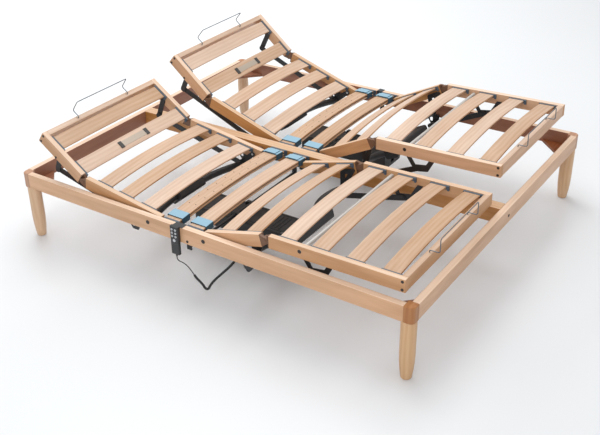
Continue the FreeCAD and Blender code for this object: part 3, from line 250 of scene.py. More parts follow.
def beech_group():
    """Straight-grained beech along the vector's X: streaks, soft arches, short flecks and board tone; faces
    that look up take lighter colours than upright ones, as painted light.
    """
    group, given, result = new_group(
        "Beech grain",
        [("Vector", "NodeSocketVector", None), ("Board", "NodeSocketFloat", 0.5),
         ("Facing Up", "NodeSocketFloat", 1.0),
         ("Lit Face Light", "NodeSocketColor", (1, 1, 1, 1)), ("Lit Face Dark", "NodeSocketColor", (1, 1, 1, 1)),
         ("Shaded Side Light", "NodeSocketColor", (1, 1, 1, 1)), ("Shaded Side Dark", "NodeSocketColor", (1, 1, 1, 1)),
         ("Base Roughness", "NodeSocketFloat", 0.4)],
        [("Color", "NodeSocketColor"), ("Roughness", "NodeSocketFloat"), ("Height", "NodeSocketFloat")])
    board = given.outputs["Board"]
    offset = add_node(group, "ShaderNodeCombineXYZ")
    for slot, factor in enumerate((7.3, 3.9, 5.1)):
        group.links.new(math_node(group, "MULTIPLY", board, factor), offset.inputs[slot])
    moved = add_node(group, "ShaderNodeVectorMath", operation="ADD")
    group.links.new(given.outputs["Vector"], moved.inputs[0])
    group.links.new(offset.outputs[0], moved.inputs[1])
    vector = moved.outputs[0]
    broad = noise(group, scaled(group, vector, (0.7, 9.0, 9.0)), 3.2, 4.0, 0.6, 0.4)
    fine = noise(group, scaled(group, vector, (2.2, 60.0, 60.0)), 6.0, 3.0, 0.6)
    waves = add_node(group, "ShaderNodeTexWave", wave_type="BANDS", bands_direction="Y")
    for label, number in (("Scale", 7.0), ("Distortion", 5.0), ("Detail", 2.0), ("Detail Scale", 1.2)):
        waves.inputs[label].default_value = number
    group.links.new(scaled(group, vector, (0.35, 2.4, 2.4)), waves.inputs["Vector"])
    blotch = noise(group, scaled(group, vector, (1.0, 3.0, 3.0)), 2.6, 2.0, 0.5)
    specks = noise(group, scaled(group, vector, (55.0, 420.0, 420.0)), 5.0, 1.0, 0.4)
    flecks = remap(group, specks, 0.62, 0.74)
    streaks = math_node(group, "MULTIPLY", broad, 0.62)
    arches = math_node(group, "MULTIPLY", waves.outputs["Fac"], 0.16)
    hairs = math_node(group, "MULTIPLY", fine, 0.22)
    tone = math_node(group, "ADD", math_node(group, "ADD", streaks, arches), hairs)
    tone = remap(group, tone, 0.34, 0.68)
    # painted light: lit colours on faces that look up, darker shaded colours on upright faces
    face = mix_colours(group, tone, given.outputs["Lit Face Light"], given.outputs["Lit Face Dark"])
    side = mix_colours(group, tone, given.outputs["Shaded Side Light"], given.outputs["Shaded Side Dark"])
    wood = mix_colours(group, given.outputs["Facing Up"], side, face)
    shade = add_node(group, "ShaderNodeHueSaturation")
    group.links.new(wood, shade.inputs["Color"])
    board_value = remap(group, board, 0.0, 1.0, 0.83, 1.08)
    blotch_value = remap(group, blotch, 0.3, 0.7, 0.95, 1.05)
    group.links.new(math_node(group, "MULTIPLY", board_value, blotch_value), shade.inputs["Value"])
    group.links.new(remap(group, board, 0.0, 1.0, 1.26, 0.90), shade.inputs["Saturation"])
    speckled = mix_colours(group, math_node(group, "MULTIPLY", flecks, 0.22), shade.outputs["Color"],
                           given.outputs["Shaded Side Dark"])
    group.links.new(speckled, result.inputs["Color"])
    rough = math_node(group, "ADD", given.outputs["Base Roughness"],
                      remap(group, tone, 0.0, 1.0, -0.05, 0.09))
    group.links.new(rough, result.inputs["Roughness"])
    group.links.new(math_node(group, "ADD", hairs, math_node(group, "MULTIPLY", flecks, -0.3)),
                    result.inputs["Height"])
    return group


def end_grain_group():
    """Sawn end grain: close curved rings and pores."""
    group, given, result = new_group(
        "Beech end grain",
        [("Vector", "NodeSocketVector", None), ("Light", "NodeSocketColor", (1, 1, 1, 1)),
         ("Dark", "NodeSocketColor", (1, 1, 1, 1))],
        [("Color", "NodeSocketColor"), ("Roughness", "NodeSocketFloat"), ("Height", "NodeSocketFloat")])
    rings = add_node(group, "ShaderNodeTexWave", wave_type="RINGS", rings_direction="X")
    for label, number in (("Scale", 55.0), ("Distortion", 2.5), ("Detail", 2.0), ("Detail Scale", 1.4)):
        rings.inputs[label].default_value = number
    group.links.new(given.outputs["Vector"], rings.inputs["Vector"])
    pores = noise(group, given.outputs["Vector"], 900.0, 2.0, 0.6)
    tone = math_node(group, "ADD", math_node(group, "MULTIPLY", rings.outputs["Fac"], 0.6),
                     math_node(group, "MULTIPLY", pores, 0.5))
    group.links.new(mix_colours(group, tone, given.outputs["Light"], given.outputs["Dark"]),
                    result.inputs["Color"])
    group.links.new(remap(group, pores, 0.3, 0.7, 0.6, 0.8), result.inputs["Roughness"])
    group.links.new(pores, result.inputs["Height"])
    return group


def handled_group():
    """Surface of a moulded or coated piece: fine texture, soft smudges and dust on faces that look up."""
    group, given, result = new_group(
        "Handled surface",
        [("Vector", "NodeSocketVector", None), ("Facing Up", "NodeSocketFloat", 0.0),
         ("Base", "NodeSocketColor", (1, 1, 1, 1)), ("Dust", "NodeSocketColor", (0.5, 0.5, 0.5, 1)),
         ("Dust Amount", "NodeSocketFloat", 0.05), ("Texture Scale", "NodeSocketFloat", 900.0),
         ("Base Roughness", "NodeSocketFloat", 0.5)],
        [("Color", "NodeSocketColor"), ("Roughness", "NodeSocketFloat"), ("Height", "NodeSocketFloat")])
    grit = add_node(group, "ShaderNodeTexNoise")
    grit.inputs["Detail"].default_value = 2.0
    group.links.new(given.outputs["Vector"], grit.inputs["Vector"])
    group.links.new(given.outputs["Texture Scale"], grit.inputs["Scale"])
    smudge = noise(group, given.outputs["Vector"], 14.0, 4.0, 0.6, 0.3)
    dusty = math_node(group, "MULTIPLY", math_node(group, "MULTIPLY", given.outputs["Facing Up"],
                                                   remap(group, smudge, 0.35, 0.7)),
                      given.outputs["Dust Amount"])
    flecked = math_node(group, "ADD", dusty, remap(group, grit.outputs["Fac"], 0.35, 0.75, 0.0, 0.018))
    group.links.new(mix_colours(group, flecked, given.outputs["Base"], given.outputs["Dust"]),
                    result.inputs["Color"])
    rough = math_node(group, "ADD", given.outputs["Base Roughness"],
                      remap(group, smudge, 0.3, 0.7, -0.08, 0.10))
    group.links.new(rough, result.inputs["Roughness"])
    group.links.new(grit.outputs["Fac"], result.inputs["Height"])
    return group


def shared_group(name, build):
    return bpy.data.node_groups.get(name) or build()


def new_material(name):
    material = bpy.data.materials.new(name)
    material.use_nodes = True
    tree = material.node_tree
    return material, tree, tree.nodes["Principled BSDF"]


def place_group(tree, group, values):
    made = add_node(tree, "ShaderNodeGroup", node_tree=group)
    for label, value in values.items():
        if isinstance(value, (int, float, tuple)):
            made.inputs[label].default_value = value
        else:
            tree.links.new(value, made.inputs[label])
    return made


def surface_from(tree, shader, made, bump, distance):
    """Feeds a group's colour, roughness and height to the shader."""
    tree.links.new(made.outputs["Color"], shader.inputs["Base Color"])
    tree.links.new(made.outputs["Roughness"], shader.inputs["Roughness"])
    relief = add_node(tree, "ShaderNodeBump")
    relief.inputs["Strength"].default_value = bump
    relief.inputs["Distance"].default_value = distance
    tree.links.new(made.outputs["Height"], relief.inputs["Height"])
    tree.links.new(relief.outputs["Normal"], shader.inputs["Normal"])


def turned_coordinates(tree, turn):
    """Object coordinates and the upward part of the normal, both turned to the board's own directions."""
    place = add_node(tree, "ShaderNodeTexCoord")
    results = []
    for source in ("Object", "Normal"):
        turner = add_node(tree, "ShaderNodeMapping", vector_type="POINT")
        turner.inputs["Rotation"].default_value = turn
        tree.links.new(place.outputs[source], turner.inputs["Vector"])
        results.append(turner.outputs["Vector"])
    parts = add_node(tree, "ShaderNodeSeparateXYZ")
    tree.links.new(results[1], parts.inputs[0])
    return results[0], parts


def wood_material(name, colours, grain="Y", tilt=0.0, lacquer=0.42):
    """Lacquered beech with its grain along X, Y or Z, on a section that stands tilt degrees from flat; its
    faces that look up are painted lighter than its upright faces, as painted light.
    """
    material, tree, shader = new_material(name)
    turns = {"X": (-math.radians(tilt), 0.0, 0.0), "Y": (-math.radians(tilt), 0.0, -math.pi / 2),
             "Z": (0.0, math.pi / 2, 0.0)}
    vector, normal = turned_coordinates(tree, turns[grain])
    # painted light: the mask is 1 on faces that look up and 0 on upright ones; grain Z gives the upright
    # colours only
    if grain == "Z":
        painted_top_light = 0.0
    else:
        painted_top_light = remap(tree, normal.outputs["Z"], 0.25, 0.85)
    board = add_node(tree, "ShaderNodeAttribute", attribute_name="board")
    made = place_group(tree, shared_group("Beech grain", beech_group), {
        "Vector": vector, "Board": board.outputs["Fac"], "Facing Up": painted_top_light,
        "Lit Face Light": rgba(colours[0]), "Lit Face Dark": rgba(colours[1]),
        "Shaded Side Light": rgba(colours[2]), "Shaded Side Dark": rgba(colours[3]), "Base Roughness": lacquer})
    surface_from(tree, shader, made, 0.12, 0.0006)
    shader.inputs["Coat Weight"].default_value = 0.12
    shader.inputs["Coat Roughness"].default_value = 0.3
    return material


def end_grain_material(name, light, dark, turn):
    material, tree, shader = new_material(name)
    vector, _ = turned_coordinates(tree, turn)
    made = place_group(tree, shared_group("Beech end grain", end_grain_group),
                       {"Vector": vector, "Light": rgba(light), "Dark": rgba(dark)})
    surface_from(tree, shader, made, 0.2, 0.0004)
    return material


def moulded_material(name, base, rough=0.5, dust=0.05, scale=900.0, bump=0.15, metallic=0.0):
    """Moulded plastic, rubber or coated steel."""
    material, tree, shader = new_material(name)
    vector, normal = turned_coordinates(tree, (0.0, 0.0, 0.0))
    made = place_group(tree, shared_group("Handled surface", handled_group), {
        "Vector": vector, "Facing Up": remap(tree, normal.outputs["Z"], 0.2, 0.9),
        "Base": rgba(base), "Dust": (0.55, 0.52, 0.48, 1.0), "Dust Amount": dust,
        "Texture Scale": scale, "Base Roughness": rough})
    surface_from(tree, shader, made, bump, 0.0003)
    shader.inputs["Metallic"].default_value = metallic
    return material


# ------------------------------------------------------------------ solids of a node

def solids(node):
    """For each solid of a node, the indices of its faces and its lowest and highest corner."""
    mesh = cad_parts[node].data
    count = len(mesh.vertices)
    points = np.empty(count * 3)
    mesh.vertices.foreach_get("co", points)
    points = points.reshape(-1, 3)
    _, same = np.unique(np.round(points, 6), axis=0, return_inverse=True)
    same = same.ravel()
    parent = list(range(int(same.max()) + 1))

    def root(item):
        while parent[item] != item:
            parent[item] = parent[parent[item]]
            item = parent[item]
        return item

    for face in mesh.polygons:
        first = root(int(same[face.vertices[0]]))
        for vertex in face.vertices[1:]:
            other = root(int(same[vertex]))
            if other != first:
                parent[other] = first
    found = {}
    for face in mesh.polygons:
        found.setdefault(root(int(same[face.vertices[0]])), []).append(face.index)
    result = []
    for faces in found.values():
        corners = points[[v for f in faces for v in mesh.polygons[f].vertices]]
        result.append((faces, corners.min(0), corners.max(0)))
    return sorted(result, key=lambda item: tuple(np.round((item[1] + item[2]) / 2, 4)))


def dress(node, choose, materials):
    """Gives each face of a node the material that choose(size, centre, normal, middle) names."""
    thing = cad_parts[node]
    mesh = thing.data
    mesh.materials.clear()
    order = list(materials)
    for key in order:
        mesh.materials.append(materials[key])
    tones = np.zeros(len(mesh.polygons))
    for number, (faces, low, high) in enumerate(solids(node)):
        size, centre = high - low, (low + high) / 2
        tone = (math.sin(91.7 * centre[0] + 57.3 * centre[1] + 13.1 * number) * 43.7) % 1.0
        for index in faces:
            face = mesh.polygons[index]
            face.material_index = order.index(choose(size, centre, face.normal, face.center))
            tones[index] = tone
    board = mesh.attributes.new("board", "FLOAT", "FACE")
    board.data.foreach_set("value", tones)


def dress_plain(node, material):
    dress(node, lambda size, centre, normal, middle: "only", {"only": material})


# ------------------------------------------------------------------ piece helpers

def link(thing, body):
    bpy.context.scene.collection.objects.link(thing)
    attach(thing, body)
    return thing


def mesh_piece(name, verts, faces, material, body, slot_name, smooth=False):
    mesh = bpy.data.meshes.new(name)
    mesh.from_pydata([tuple(v) for v in verts], [], faces)
    mesh.update()
    mesh.materials.append(material)
    for face in mesh.polygons:
        face.use_smooth = smooth
    return link(bpy.data.objects.new(name, mesh), body)


def lathe(profile, sides, centre, axis):
    """Vertices and faces of a turned piece: profile is (distance along the axis, radius) pairs."""
    turn = Vector((0, 0, 1)).rotation_difference(Vector(axis)).to_matrix()
    verts, faces = [], []
    for along, radius in profile:
        for step in range(sides):
            angle = 2 * math.pi * step / sides
            point = turn @ Vector((radius * math.cos(angle), radius * math.sin(angle), along))
            verts.append(point + Vector(centre))
    for ring in range(len(profile) - 1):
        for step in range(sides):
            following = (step + 1) % sides
            base = ring * sides
            faces.append((base + step, base + following, base + sides + following, base + sides + step))
    faces.append(tuple(reversed(range(sides))))
    faces.append(tuple(range((len(profile) - 1) * sides, len(profile) * sides)))
    return verts, faces


def joined(pieces):
    """One list of vertices and faces from several."""
    verts, faces = [], []
    for more_verts, more_faces in pieces:
        start = len(verts)
        verts.extend(more_verts)
        faces.extend([tuple(index + start for index in face) for face in more_faces])
    return verts, faces


def slab(low, high, edge):
    """A block with chamfered edges."""
    verts, faces = [], []
    low, high = Vector(low), Vector(high)
    corners = [(x, y, z) for x in (0, 1) for y in (0, 1) for z in (0, 1)]
    index = {}
    for corner in corners:
        base = Vector([high[a] if corner[a] else low[a] for a in range(3)])
        for axis in range(3):
            point = base.copy()
            for other in range(3):
                if other != axis:
                    point[other] += -edge if corner[other] else edge
            index[(corner, axis)] = len(verts)
            verts.append(point)
    for axis in range(3):
        first, second = [a for a in range(3) if a != axis]
        for side in (0, 1):
            loop = []
            for u, v in ((0, 0), (1, 0), (1, 1), (0, 1)):
                corner = [0, 0, 0]
                corner[axis], corner[first], corner[second] = side, u, v
                loop.append(index[(tuple(corner), axis)])
            faces.append(tuple(loop))
        for u in (0, 1):
            for v in (0, 1):
                ends = []
                for side in (0, 1):
                    corner = [0, 0, 0]
                    corner[axis], corner[first], corner[second] = side, u, v
                    ends.append(tuple(corner))
                faces.append((index[(ends[0], first)], index[(ends[0], second)],
                              index[(ends[1], second)], index[(ends[1], first)]))
    for corner in corners:
        faces.append(tuple(index[(corner, axis)] for axis in range(3)))
    return verts, faces


def outward(thing):
    """Turns every face of a closed mesh outwards."""
    work = bmesh.new()
    work.from_mesh(thing.data)
    bmesh.ops.recalc_face_normals(work, faces=work.faces)
    work.to_mesh(thing.data)
    work.free()
    return thing


# ------------------------------------------------------------------ operators

class BED_OT_stage(bpy.types.Operator):
    """Lays the floor, hangs the lamps and sets the camera"""
    bl_idname = "bed.stage"
    bl_label = "Stage"

    def execute(self, context):
        choice = context.scene.bed_stage
        mesh = bpy.data.meshes.new("floor")
        reach = 30.0
        mesh.from_pydata([(-reach, -reach, 0), (reach, -reach, 0), (reach, reach, 0), (-reach, reach, 0)], [],
                         [(0, 1, 2, 3)])
        floor = bpy.data.objects.new("floor", mesh)
        context.scene.collection.objects.link(floor)
        material, tree, shader = new_material("pale floor")
        place = add_node(tree, "ShaderNodeTexCoord")
        drift = noise(tree, place.outputs["Object"], 0.9, 3.0, 0.5)
        base = rgba(choice.floor)
        soft = tuple(c * 0.97 for c in base[:3]) + (1.0,)
        tree.links.new(mix_colours(tree, drift, base, soft), shader.inputs["Base Color"])
        shader.inputs["Roughness"].default_value = 0.32
        shader.inputs["Specular IOR Level"].default_value = 0.4
        mesh.materials.append(material)
        world = bpy.data.worlds.new("studio")
        world.use_nodes = True
        world.node_tree.nodes["Background"].inputs["Color"].default_value = (1.0, 1.0, 1.0, 1.0)
        world.node_tree.nodes["Background"].inputs["Strength"].default_value = choice.world
        context.scene.world = world
        self.lamp(context, "overhead lamp", (0.4, 0.5, 4.2), (0.0, 0.0, 0.3), 3.6, choice.key)
        self.lamp(context, "near lamp", (-4.2, -1.6, 2.2), (0.0, 0.0, 0.3), 2.4, choice.fill)
        far = self.lamp(context, "far lamp", (4.5, 6.0, 4.0), (4.5, 6.0, 0.0), 6.0, choice.back)
        far.visible_glossy = False
        self.camera(context, choice.lens)
        context.scene.view_settings.view_transform = "Standard"
        return {"FINISHED"}

    def lamp(self, context, name, place, target, size, power):
        light = bpy.data.lights.new(name, "AREA")
        light.shape, light.size, light.energy = "SQUARE", size, power
        thing = bpy.data.objects.new(name, light)
        thing.location = place
        heading = Vector(target) - Vector(place)
        thing.rotation_euler = heading.to_track_quat("-Z", "Y").to_euler()
        context.scene.collection.objects.link(thing)
        return thing

    def camera(self, context, lens):
        azimuth, elevation, roll = math.radians(-53.69), math.radians(29.82), math.radians(-2.13)
        ahead = Vector((-math.sin(azimuth) * math.cos(elevation), math.cos(azimuth) * math.cos(elevation),
                        -math.sin(elevation)))
        right = Vector((math.cos(azimuth), math.sin(azimuth), 0.0))
        upward = right.cross(ahead)
        level = right * math.cos(roll) + upward * math.sin(roll)
        raised = upward * math.cos(roll) - right * math.sin(roll)
        data = bpy.data.cameras.new("camera")
        data.sensor_width, data.lens = 36.0, lens
        data.shift_x, data.shift_y = 0.068, -0.004
        data.clip_end = 200.0
        thing = bpy.data.objects.new("camera", data)
        basis = Matrix((level, raised, -ahead)).transposed().to_4x4()
        thing.matrix_world = Matrix.Translation((-3.170, -2.060, 2.170)) @ basis
        context.scene.collection.objects.link(thing)
        context.scene.camera = thing


class BED_OT_outer_frame(bpy.types.Operator):
    """Dresses the rails, beam, posts, plates and legs"""
    bl_idname = "bed.outer_frame"
    bl_label = "Outer frame"

    def execute(self, context):
        choice = context.scene.bed_wood
        # painted light: lit colours for faces that look up, shaded colours for upright faces
        plain = (choice.lit_face_light, choice.lit_face_dark, choice.shaded_side_light, choice.shaded_side_dark)
        deep_brown = (choice.deep_brown_light, choice.deep_brown_dark) * 2
        post = (choice.post_light, choice.post_dark) * 2
        rough = choice.roughness
        along, across = (wood_material("beech rail %s" % g, plain, g, 0.0, rough) for g in "YX")
        # faces turned towards the bed's middle take the much darker brown colours
        inner_y = wood_material("deep brown rail Y", deep_brown, "Y", 0.0, rough)
        inner_x = wood_material("deep brown rail X", deep_brown, "X", 0.0, rough)
        dress("side_rails", lambda size, centre, normal, middle:
              "inner" if normal[0] * centre[0] < -0.3 * abs(centre[0]) else "outer",
              {"outer": along, "inner": inner_y})
        dress("end_rails", lambda size, centre, normal, middle:
              "inner" if normal[1] * centre[1] < -0.3 * abs(centre[1]) else "outer",
              {"outer": across, "inner": inner_x})
        dress_plain("centre_beam", along)
        dress_plain("corner_posts", wood_material("post beech", post, "Z", 0.0, rough))
        dress_plain("corner_plates", wood_material("deep brown plate", deep_brown, "X", 0.0, rough + 0.1))
        leg_wood = (choice.leg_light, choice.leg_dark) * 2
        dress_plain("legs", wood_material("turned beech", leg_wood, "Z", 0.0, rough))
        return {"FINISHED"}


class BED_OT_lounges(bpy.types.Operator):
    """Dresses the section rails and slats of both lounges"""
    bl_idname = "bed.lounges"
    bl_label = "Lounge sections"

    def execute(self, context):
        choice = context.scene.bed_wood
        # painted light: lit colours for faces that look up, shaded colours for upright faces
        plain = (choice.lit_face_light, choice.lit_face_dark, choice.shaded_side_light, choice.shaded_side_dark)
        rough = choice.roughness
        # painted light: slat tops take the lit slat colours, slat sides the shaded side colours
        slats = (choice.lit_slat_light, choice.lit_slat_dark, choice.shaded_side_light, choice.shaded_side_dark)
        flat = wood_material("slat beech level", slats, "X", 0.0, rough)
        dress_plain("fixed_slats", flat)
        for side in SIDES:
            for section in SECTIONS:
                tilt = SECTION_ANGLES[side][section]
                name = "%s %s" % (side, section)
                rail = wood_material("rail beech " + name, plain, "Y", tilt, rough)
                slat = wood_material("slat beech " + name, slats, "X", tilt, rough)
                end = end_grain_material("end grain " + name, choice.shaded_side_light, choice.shaded_side_dark,
                                         (-math.radians(tilt), 0.0, -math.pi / 2))
                along = Vector((0.0, math.cos(math.radians(tilt)), math.sin(math.radians(tilt))))
                dress("%s_%s_frame" % (side, section), self.chooser(along),
                      {"rail": rail, "slat": slat, "end": end})
        return {"FINISHED"}

    def chooser(self, along):
        """Names the wood of a face: side rails outside the slats, with end grain on their sawn ends."""
        def choose(size, centre, normal, middle):
            if abs(abs(middle[0]) - LOUNGE_X) < LOUNGE_RAIL_FACE - 0.0002:
                return "slat"
            return "end" if abs(normal.dot(along)) > 0.9 else "rail"
        return choose


class BED_OT_fittings(bpy.types.Operator):
    """Dresses the slat holders, hinge fittings, caps and firmness sliders"""
    bl_idname = "bed.fittings"
    bl_label = "Fittings"

    def execute(self, context):
        choice = context.scene.bed_moulding
        holder = moulded_material("holder rubber", choice.holder, 0.62, 0.10, 700.0, 0.2)
        hinge = moulded_material("hinge moulding", choice.hinge, 0.45, 0.06, 800.0, 0.2)
        cap = moulded_material("cap plastic", choice.cap, 0.35, 0.03, 900.0, 0.1)
        bright = moulded_material("pin steel", context.scene.bed_steel.bright, 0.3, 0.04, 1500.0, 0.05, 1.0)
        palette = {"holder": holder, "hinge": hinge, "cap": cap}

        def choose(size, centre, normal, middle):
            if size[0] < CAP_THICK or size[1] < CAP_THICK:
                return "cap"
            return "holder" if abs(size[0] - HOLDER_DEPTH) < HOLDER_TOLERANCE else "hinge"

        dress("frame_fittings", choose, palette)
        for side in SIDES:
            for section in SECTIONS:
                dress("%s_%s_fittings" % (side, section), choose, palette)
        # painted light: the uppermost face takes the lit blue, the other faces the shaded blue
        top = moulded_material("lit slider face", choice.lit_slider_top, 0.38, 0.03, 900.0, 0.12)
        shaded_flank = moulded_material("shaded slider side", choice.shaded_slider_side, 0.5, 0.03, 900.0, 0.12)
        for side in SIDES:
            for row in ("head", "foot"):
                for place in ("outer", "inner"):
                    dress("%s_%s_slider_%s" % (side, row, place),
                          lambda size, centre, normal, middle:
                          "top" if normal[2] > 0.6 and middle[2] > centre[2] + 0.008 else "shaded_flank",
                          {"top": top, "shaded_flank": shaded_flank})
        dress_plain("pivot_bolts", bright)
        return {"FINISHED"}


class BED_OT_linkage(bpy.types.Operator):
    """Dresses the levers, bars, bows, brackets, rods and retainers"""
    bl_idname = "bed.linkage"
    bl_label = "Linkage"

    def execute(self, context):
        choice = context.scene.bed_steel
        coat = moulded_material("black coat", choice.linkage, 0.42, 0.05, 1200.0, 0.25)
        mouldings = context.scene.bed_moulding
        block = moulded_material("thrust block rubber", mouldings.drive, 0.66, 0.06, 500.0, 0.3)
        wire = moulded_material("retainer wire", choice.wire, 0.3, 0.02, 1600.0, 0.05, 0.7)
        grey = moulded_material("zinc rod", choice.rod, 0.45, 0.02, 1300.0, 0.1, 0.35)
        cap = moulded_material("rod cap", mouldings.cap, 0.35, 0.03, 900.0, 0.1)
        for node in ("link_brackets", "drive_carriers"):
            dress_plain(node, coat)
        for side in SIDES:
            for node in ("head_tilt_bars", "leg_support_bars"):
                dress_plain("%s_%s" % (side, node), coat)
            for node in ("back_lift_bow", "leg_lift_bow"):
                dress("%s_%s" % (side, node),
                      lambda size, centre, normal, middle: "block" if size[0] < 0.4 else "coat",
                      {"coat": coat, "block": block})
            for node in ("head_hardware", "leg_hardware"):
                dress("%s_%s" % (side, node), self.hardware,
                      {"coat": coat, "rod": grey, "wire": wire, "cap": cap})
        return {"FINISHED"}

    def hardware(self, size, centre, normal, middle):
        """Names the finish of a face of a lever, a cross rod or a retainer's wire."""
        if size[0] < 0.05:
            return "coat"
        if size[0] < 0.6:
            return "wire"
        return "cap" if abs(normal[0]) > 0.9 else "rod"


class BED_OT_drives(bpy.types.Operator):
    """Dresses the drives and adds their ribs and screws"""
    bl_idname = "bed.drives"
    bl_label = "Drives"

    def execute(self, context):
        shade = context.scene.bed_moulding.drive
        shell = moulded_material("drive shell", shade, 0.5, 0.03, 420.0, 0.35)
        cover = moulded_material("drive cover", shade, 0.46, 0.03, 420.0, 0.35)
        screw = moulded_material("screw steel", (0.30, 0.30, 0.31), 0.35, 0.03, 1500.0, 0.1, 1.0)
        dress_plain("drive_housings", shell)
        dress_plain("drive_covers", cover)
        low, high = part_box("drive_covers")
        half_width, end_inset = 0.075, 0.02
        top, sunk = high[2], high[2] - 0.0005
        y0, y1 = low[1] + end_inset, high[1] - end_inset
        head = [(0.0, 0.0045), (0.0012, 0.0045), (0.0018, 0.0038), (0.0018, 0.0020), (0.0006, 0.0016)]
        for side, x in (("left", low[0] + half_width), ("right", high[0] - half_width)):
            ribs = []
            for step in range(7):
                y = low[1] + 0.045 + step * 0.018
                ribs.append(slab((x - 0.048, y, sunk), (x + 0.048, y + 0.006, top + 0.002), 0.0008))
            for shift in (-0.058, 0.058):
                left, right = x + shift - 0.002, x + shift + 0.002
                ribs.append(slab((left, y0, sunk), (right, y1, top + 0.0015), 0.0007))
            outward(mesh_piece(side + "_drive_ribs", *joined(ribs), cover, "frame", "drive_plastic"))
            heads = [lathe(head, 20, (x + shift, y, top - 0.0002), (0, 0, 1))
                     for shift in (-0.066, 0.066) for y in (y0, y1)]
            outward(mesh_piece(side + "_drive_screws", *joined(heads), screw, "frame", "bolt_steel"))
        return {"FINISHED"}


class BED_OT_handset(bpy.types.Operator):
    """Dresses the handset and adds its front seams, button marks and strain relief"""
    bl_idname = "bed.handset"
    bl_label = "Handset"

    def execute(self, context):
        choice = context.scene.bed_moulding
        case = moulded_material("handset case", choice.handset, 0.38, 0.05, 1400.0, 0.2)
        panel = moulded_material("handset panel", (0.050, 0.052, 0.056), 0.3, 0.03, 1400.0, 0.1)
        button = moulded_material("button plastic", choice.button, 0.4, 0.02, 1200.0, 0.1)
        hook = moulded_material("hook coat", context.scene.bed_steel.hook, 0.36, 0.05, 1300.0, 0.2)
        dress_plain("handset_case", case)
        dress_plain("handset_hooks", hook)
        for number in range(1, 8):
            dress_plain("handset_button_%d" % number, button)
        low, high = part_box("handset_case")
        seams = []
        for height in (high[2] - 0.0095, high[2] - 0.078):
            seams.append(slab((low[0] - 0.0004, low[1] + 0.004, height),
                              (low[0] + 0.0003, high[1] - 0.004, height + 0.0014), 0.0001))
        outward(mesh_piece("handset_trim", *joined(seams), panel, "frame", "handset_plastic"))
        for number in range(1, 7):
            self.arrow(number, case)
        self.strain_relief(context.scene.bed_cord.relief_ribs, case)
        return {"FINISHED"}

    def arrow(self, number, material):
        """The mark on a button: odd ones point up, even ones down."""
        low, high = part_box("handset_button_%d" % number)
        y, z = (low[1] + high[1]) / 2, (low[2] + high[2]) / 2
        tip = 1.0 if number % 2 else -1.0
        verts = [(x, y + a, z + tip * b) for x in (low[0] - 0.0003, low[0] + 0.0001)
                 for a, b in ((-0.0019, -0.0011), (0.0019, -0.0011), (0.0, 0.0019))]
        faces = [(0, 1, 2), (5, 4, 3), (0, 3, 4, 1), (1, 4, 5, 2), (2, 5, 3, 0)]
        outward(mesh_piece("button_%d_arrow" % number, verts, faces, material, "button_%d" % number,
                           "handset_plastic"))

    def strain_relief(self, ribs, material):
        """A short ribbed taper where the cord leaves the handset."""
        top = CORD_ROUTE[0][2] + 0.008
        profile = [(0.0, 0.0040)]
        for rib in range(ribs):
            radius = 0.0040 - 0.0002 * rib
            along = 0.0010 + rib * 0.0026
            profile += [(along, radius), (along + 0.0010, radius), (along + 0.0012, radius - 0.0008),
                        (along + 0.0024, radius - 0.0009)]
        profile.append((profile[-1][0] + 0.0006, 0.0022))
        relief = lathe(profile, 24, (CORD_ROUTE[0][0], CORD_ROUTE[0][1], top), (0, 0, -1))
        outward(mesh_piece("strain_relief", *relief, material, "frame", "handset_plastic", True))


class BED_OT_cord(bpy.types.Operator):
    """Lays the handset's cord and its sleeve"""
    bl_idname = "bed.cord"
    bl_label = "Cord"

    def execute(self, context):
        sizes = context.scene.bed_cord
        jacket = moulded_material("cord jacket", context.scene.bed_moulding.cord, 0.48, 0.03, 1800.0, 0.2)
        braid = moulded_material("sleeve jacket", context.scene.bed_moulding.cord, 0.6, 0.05, 600.0, 0.5)
        cord = self.lay("handset_flex", CORD_ROUTE, sizes.cord_diameter, jacket, "handset_cord")
        sleeve = self.lay("flex_sleeve", SLEEVE_ROUTE, sizes.sleeve_diameter, braid, "cord_sleeve")
        return {"FINISHED"}

    def lay(self, name, route, diameter, material, node):
        curve = bpy.data.curves.new(name, "CURVE")
        curve.dimensions = "3D"
        line = curve.splines.new("NURBS")
        line.points.add(len(route) - 1)
        for point, place in zip(line.points, route):
            point.co = (*place, 1.0)
        line.order_u = 3
        line.use_endpoint_u = True
        curve.bevel_depth = diameter / 2
        curve.bevel_resolution = 6
        curve.use_fill_caps = True
        curve.materials.append(material)
        thing = link(bpy.data.objects.new(name, curve), "frame")
        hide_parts(node)
        return thing


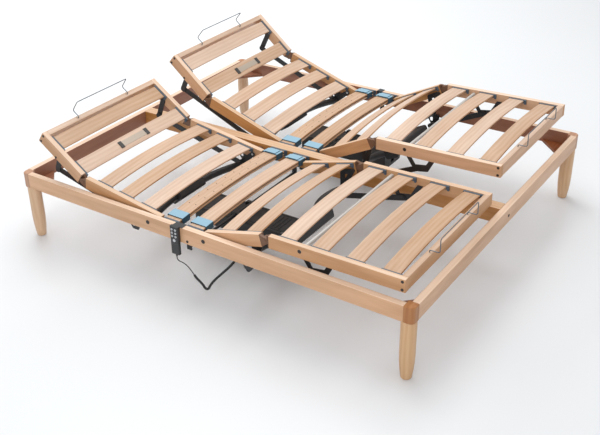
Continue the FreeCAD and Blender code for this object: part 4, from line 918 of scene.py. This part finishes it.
class BED_OT_small_details(bpy.types.Operator):
    """Adds the dimples in the head-side fixed slats and a blank plate on one slat of each head section"""
    bl_idname = "bed.small_details"
    bl_label = "Small details"

    def execute(self, context):
        dark = moulded_material("dimple shade", (0.10, 0.05, 0.025), 0.8, 0.0, 900.0, 0.1)
        clip = moulded_material("plate clip", (0.045, 0.042, 0.04), 0.5, 0.02, 900.0, 0.1)
        plate = moulded_material("plate face", (0.50, 0.42, 0.34), 0.35, 0.02, 1100.0, 0.08, 0.3)
        self.dimples(dark)
        for side, turn in (("left", -1), ("right", 1)):
            self.name_plate(side, turn, plate, clip)
        return {"FINISHED"}

    def dimples(self, material):
        """Small round recess marks along the head-side fixed slat of each lounge."""
        profile = [(0.0, 0.0026), (0.0003, 0.0026), (0.0004, 0.0018)]
        for side, centre in (("left", -FIXED_SLAT_X), ("right", FIXED_SLAT_X)):
            marks = []
            for step in range(9):
                x = -0.24 + step * 0.06
                z = FIXED_SLAT_TOP + FIXED_SLAT_CROWN * (1 - (x / FIXED_SLAT_HALF) ** 2)
                for y in (0.110, 0.142):
                    marks.append(lathe(profile, 14, (centre + x, y, z - 0.0001), (0, 0, 1)))
            outward(mesh_piece(side + "_slat_dimples", *joined(marks), material, "frame", "beech_slats"))

    def name_plate(self, side, turn, plate, clip):
        """A blank plate held by two dark clips on the second head slat."""
        pivot_y, pivot_z = HEAD_HINGES[side]
        swing = Matrix.Rotation(math.radians(SECTION_ANGLES[side]["head"]), 4, "X")
        place = Matrix.Translation((turn * LOUNGE_X, pivot_y, pivot_z)) @ swing
        middle = HEAD_SLAT_ALONG
        body = side + "_head"
        blank = slab((-0.075, middle - 0.014, HEAD_SLAT_TOP - 0.0006),
                     (0.075, middle + 0.014, HEAD_SLAT_TOP + 0.0010), 0.0004)
        clips = []
        for x in (-0.083, 0.083):
            clips.append(slab((x - 0.010, middle - 0.017, HEAD_SLAT_TOP - 0.0010),
                              (x + 0.010, middle + 0.017, HEAD_SLAT_TOP + 0.0030), 0.0010))
        for name, shape, material, slot_name in (("blank_plate", blank, plate, "fitting_plastic"),
                                                 ("plate_clips", joined(clips), clip, "fitting_plastic")):
            verts = [place @ Vector(point) for point in shape[0]]
            outward(mesh_piece("%s_%s" % (side, name), verts, shape[1], material, body, slot_name))


CLASSES = [
    BED_OT_stage, BED_OT_outer_frame, BED_OT_lounges, BED_OT_fittings, BED_OT_linkage, BED_OT_drives,
    BED_OT_handset, BED_OT_cord, BED_OT_small_details,
]


class BED_PT_panel(bpy.types.Panel):
    """Lists the settings and the steps of the bed base"""
    bl_idname = "BED_PT_panel"
    bl_label = "Bed base"
    bl_space_type = "VIEW_3D"
    bl_region_type = "UI"
    bl_category = "Bed base"

    def draw(self, context):
        layout = self.layout
        for name, group in SETTINGS.items():
            box = layout.box()
            settings = getattr(context.scene, name)
            for key in group.__annotations__:
                box.prop(settings, key)
        for operator in CLASSES:
            layout.operator(operator.bl_idname)


def register():
    for group in SETTINGS.values():
        bpy.utils.register_class(group)
    for name, group in SETTINGS.items():
        setattr(bpy.types.Scene, name, PointerProperty(type=group))
    for item in CLASSES:
        bpy.utils.register_class(item)
    bpy.utils.register_class(BED_PT_panel)


def unregister():
    bpy.utils.unregister_class(BED_PT_panel)
    for item in reversed(CLASSES):
        bpy.utils.unregister_class(item)
    for name in SETTINGS:
        delattr(bpy.types.Scene, name)
    for group in reversed(SETTINGS.values()):
        bpy.utils.unregister_class(group)


def main():
    register()
    for operator in CLASSES:
        section, name = operator.bl_idname.split(".")
        getattr(getattr(bpy.ops, section), name)()


if __name__ == "__main__":
    main()
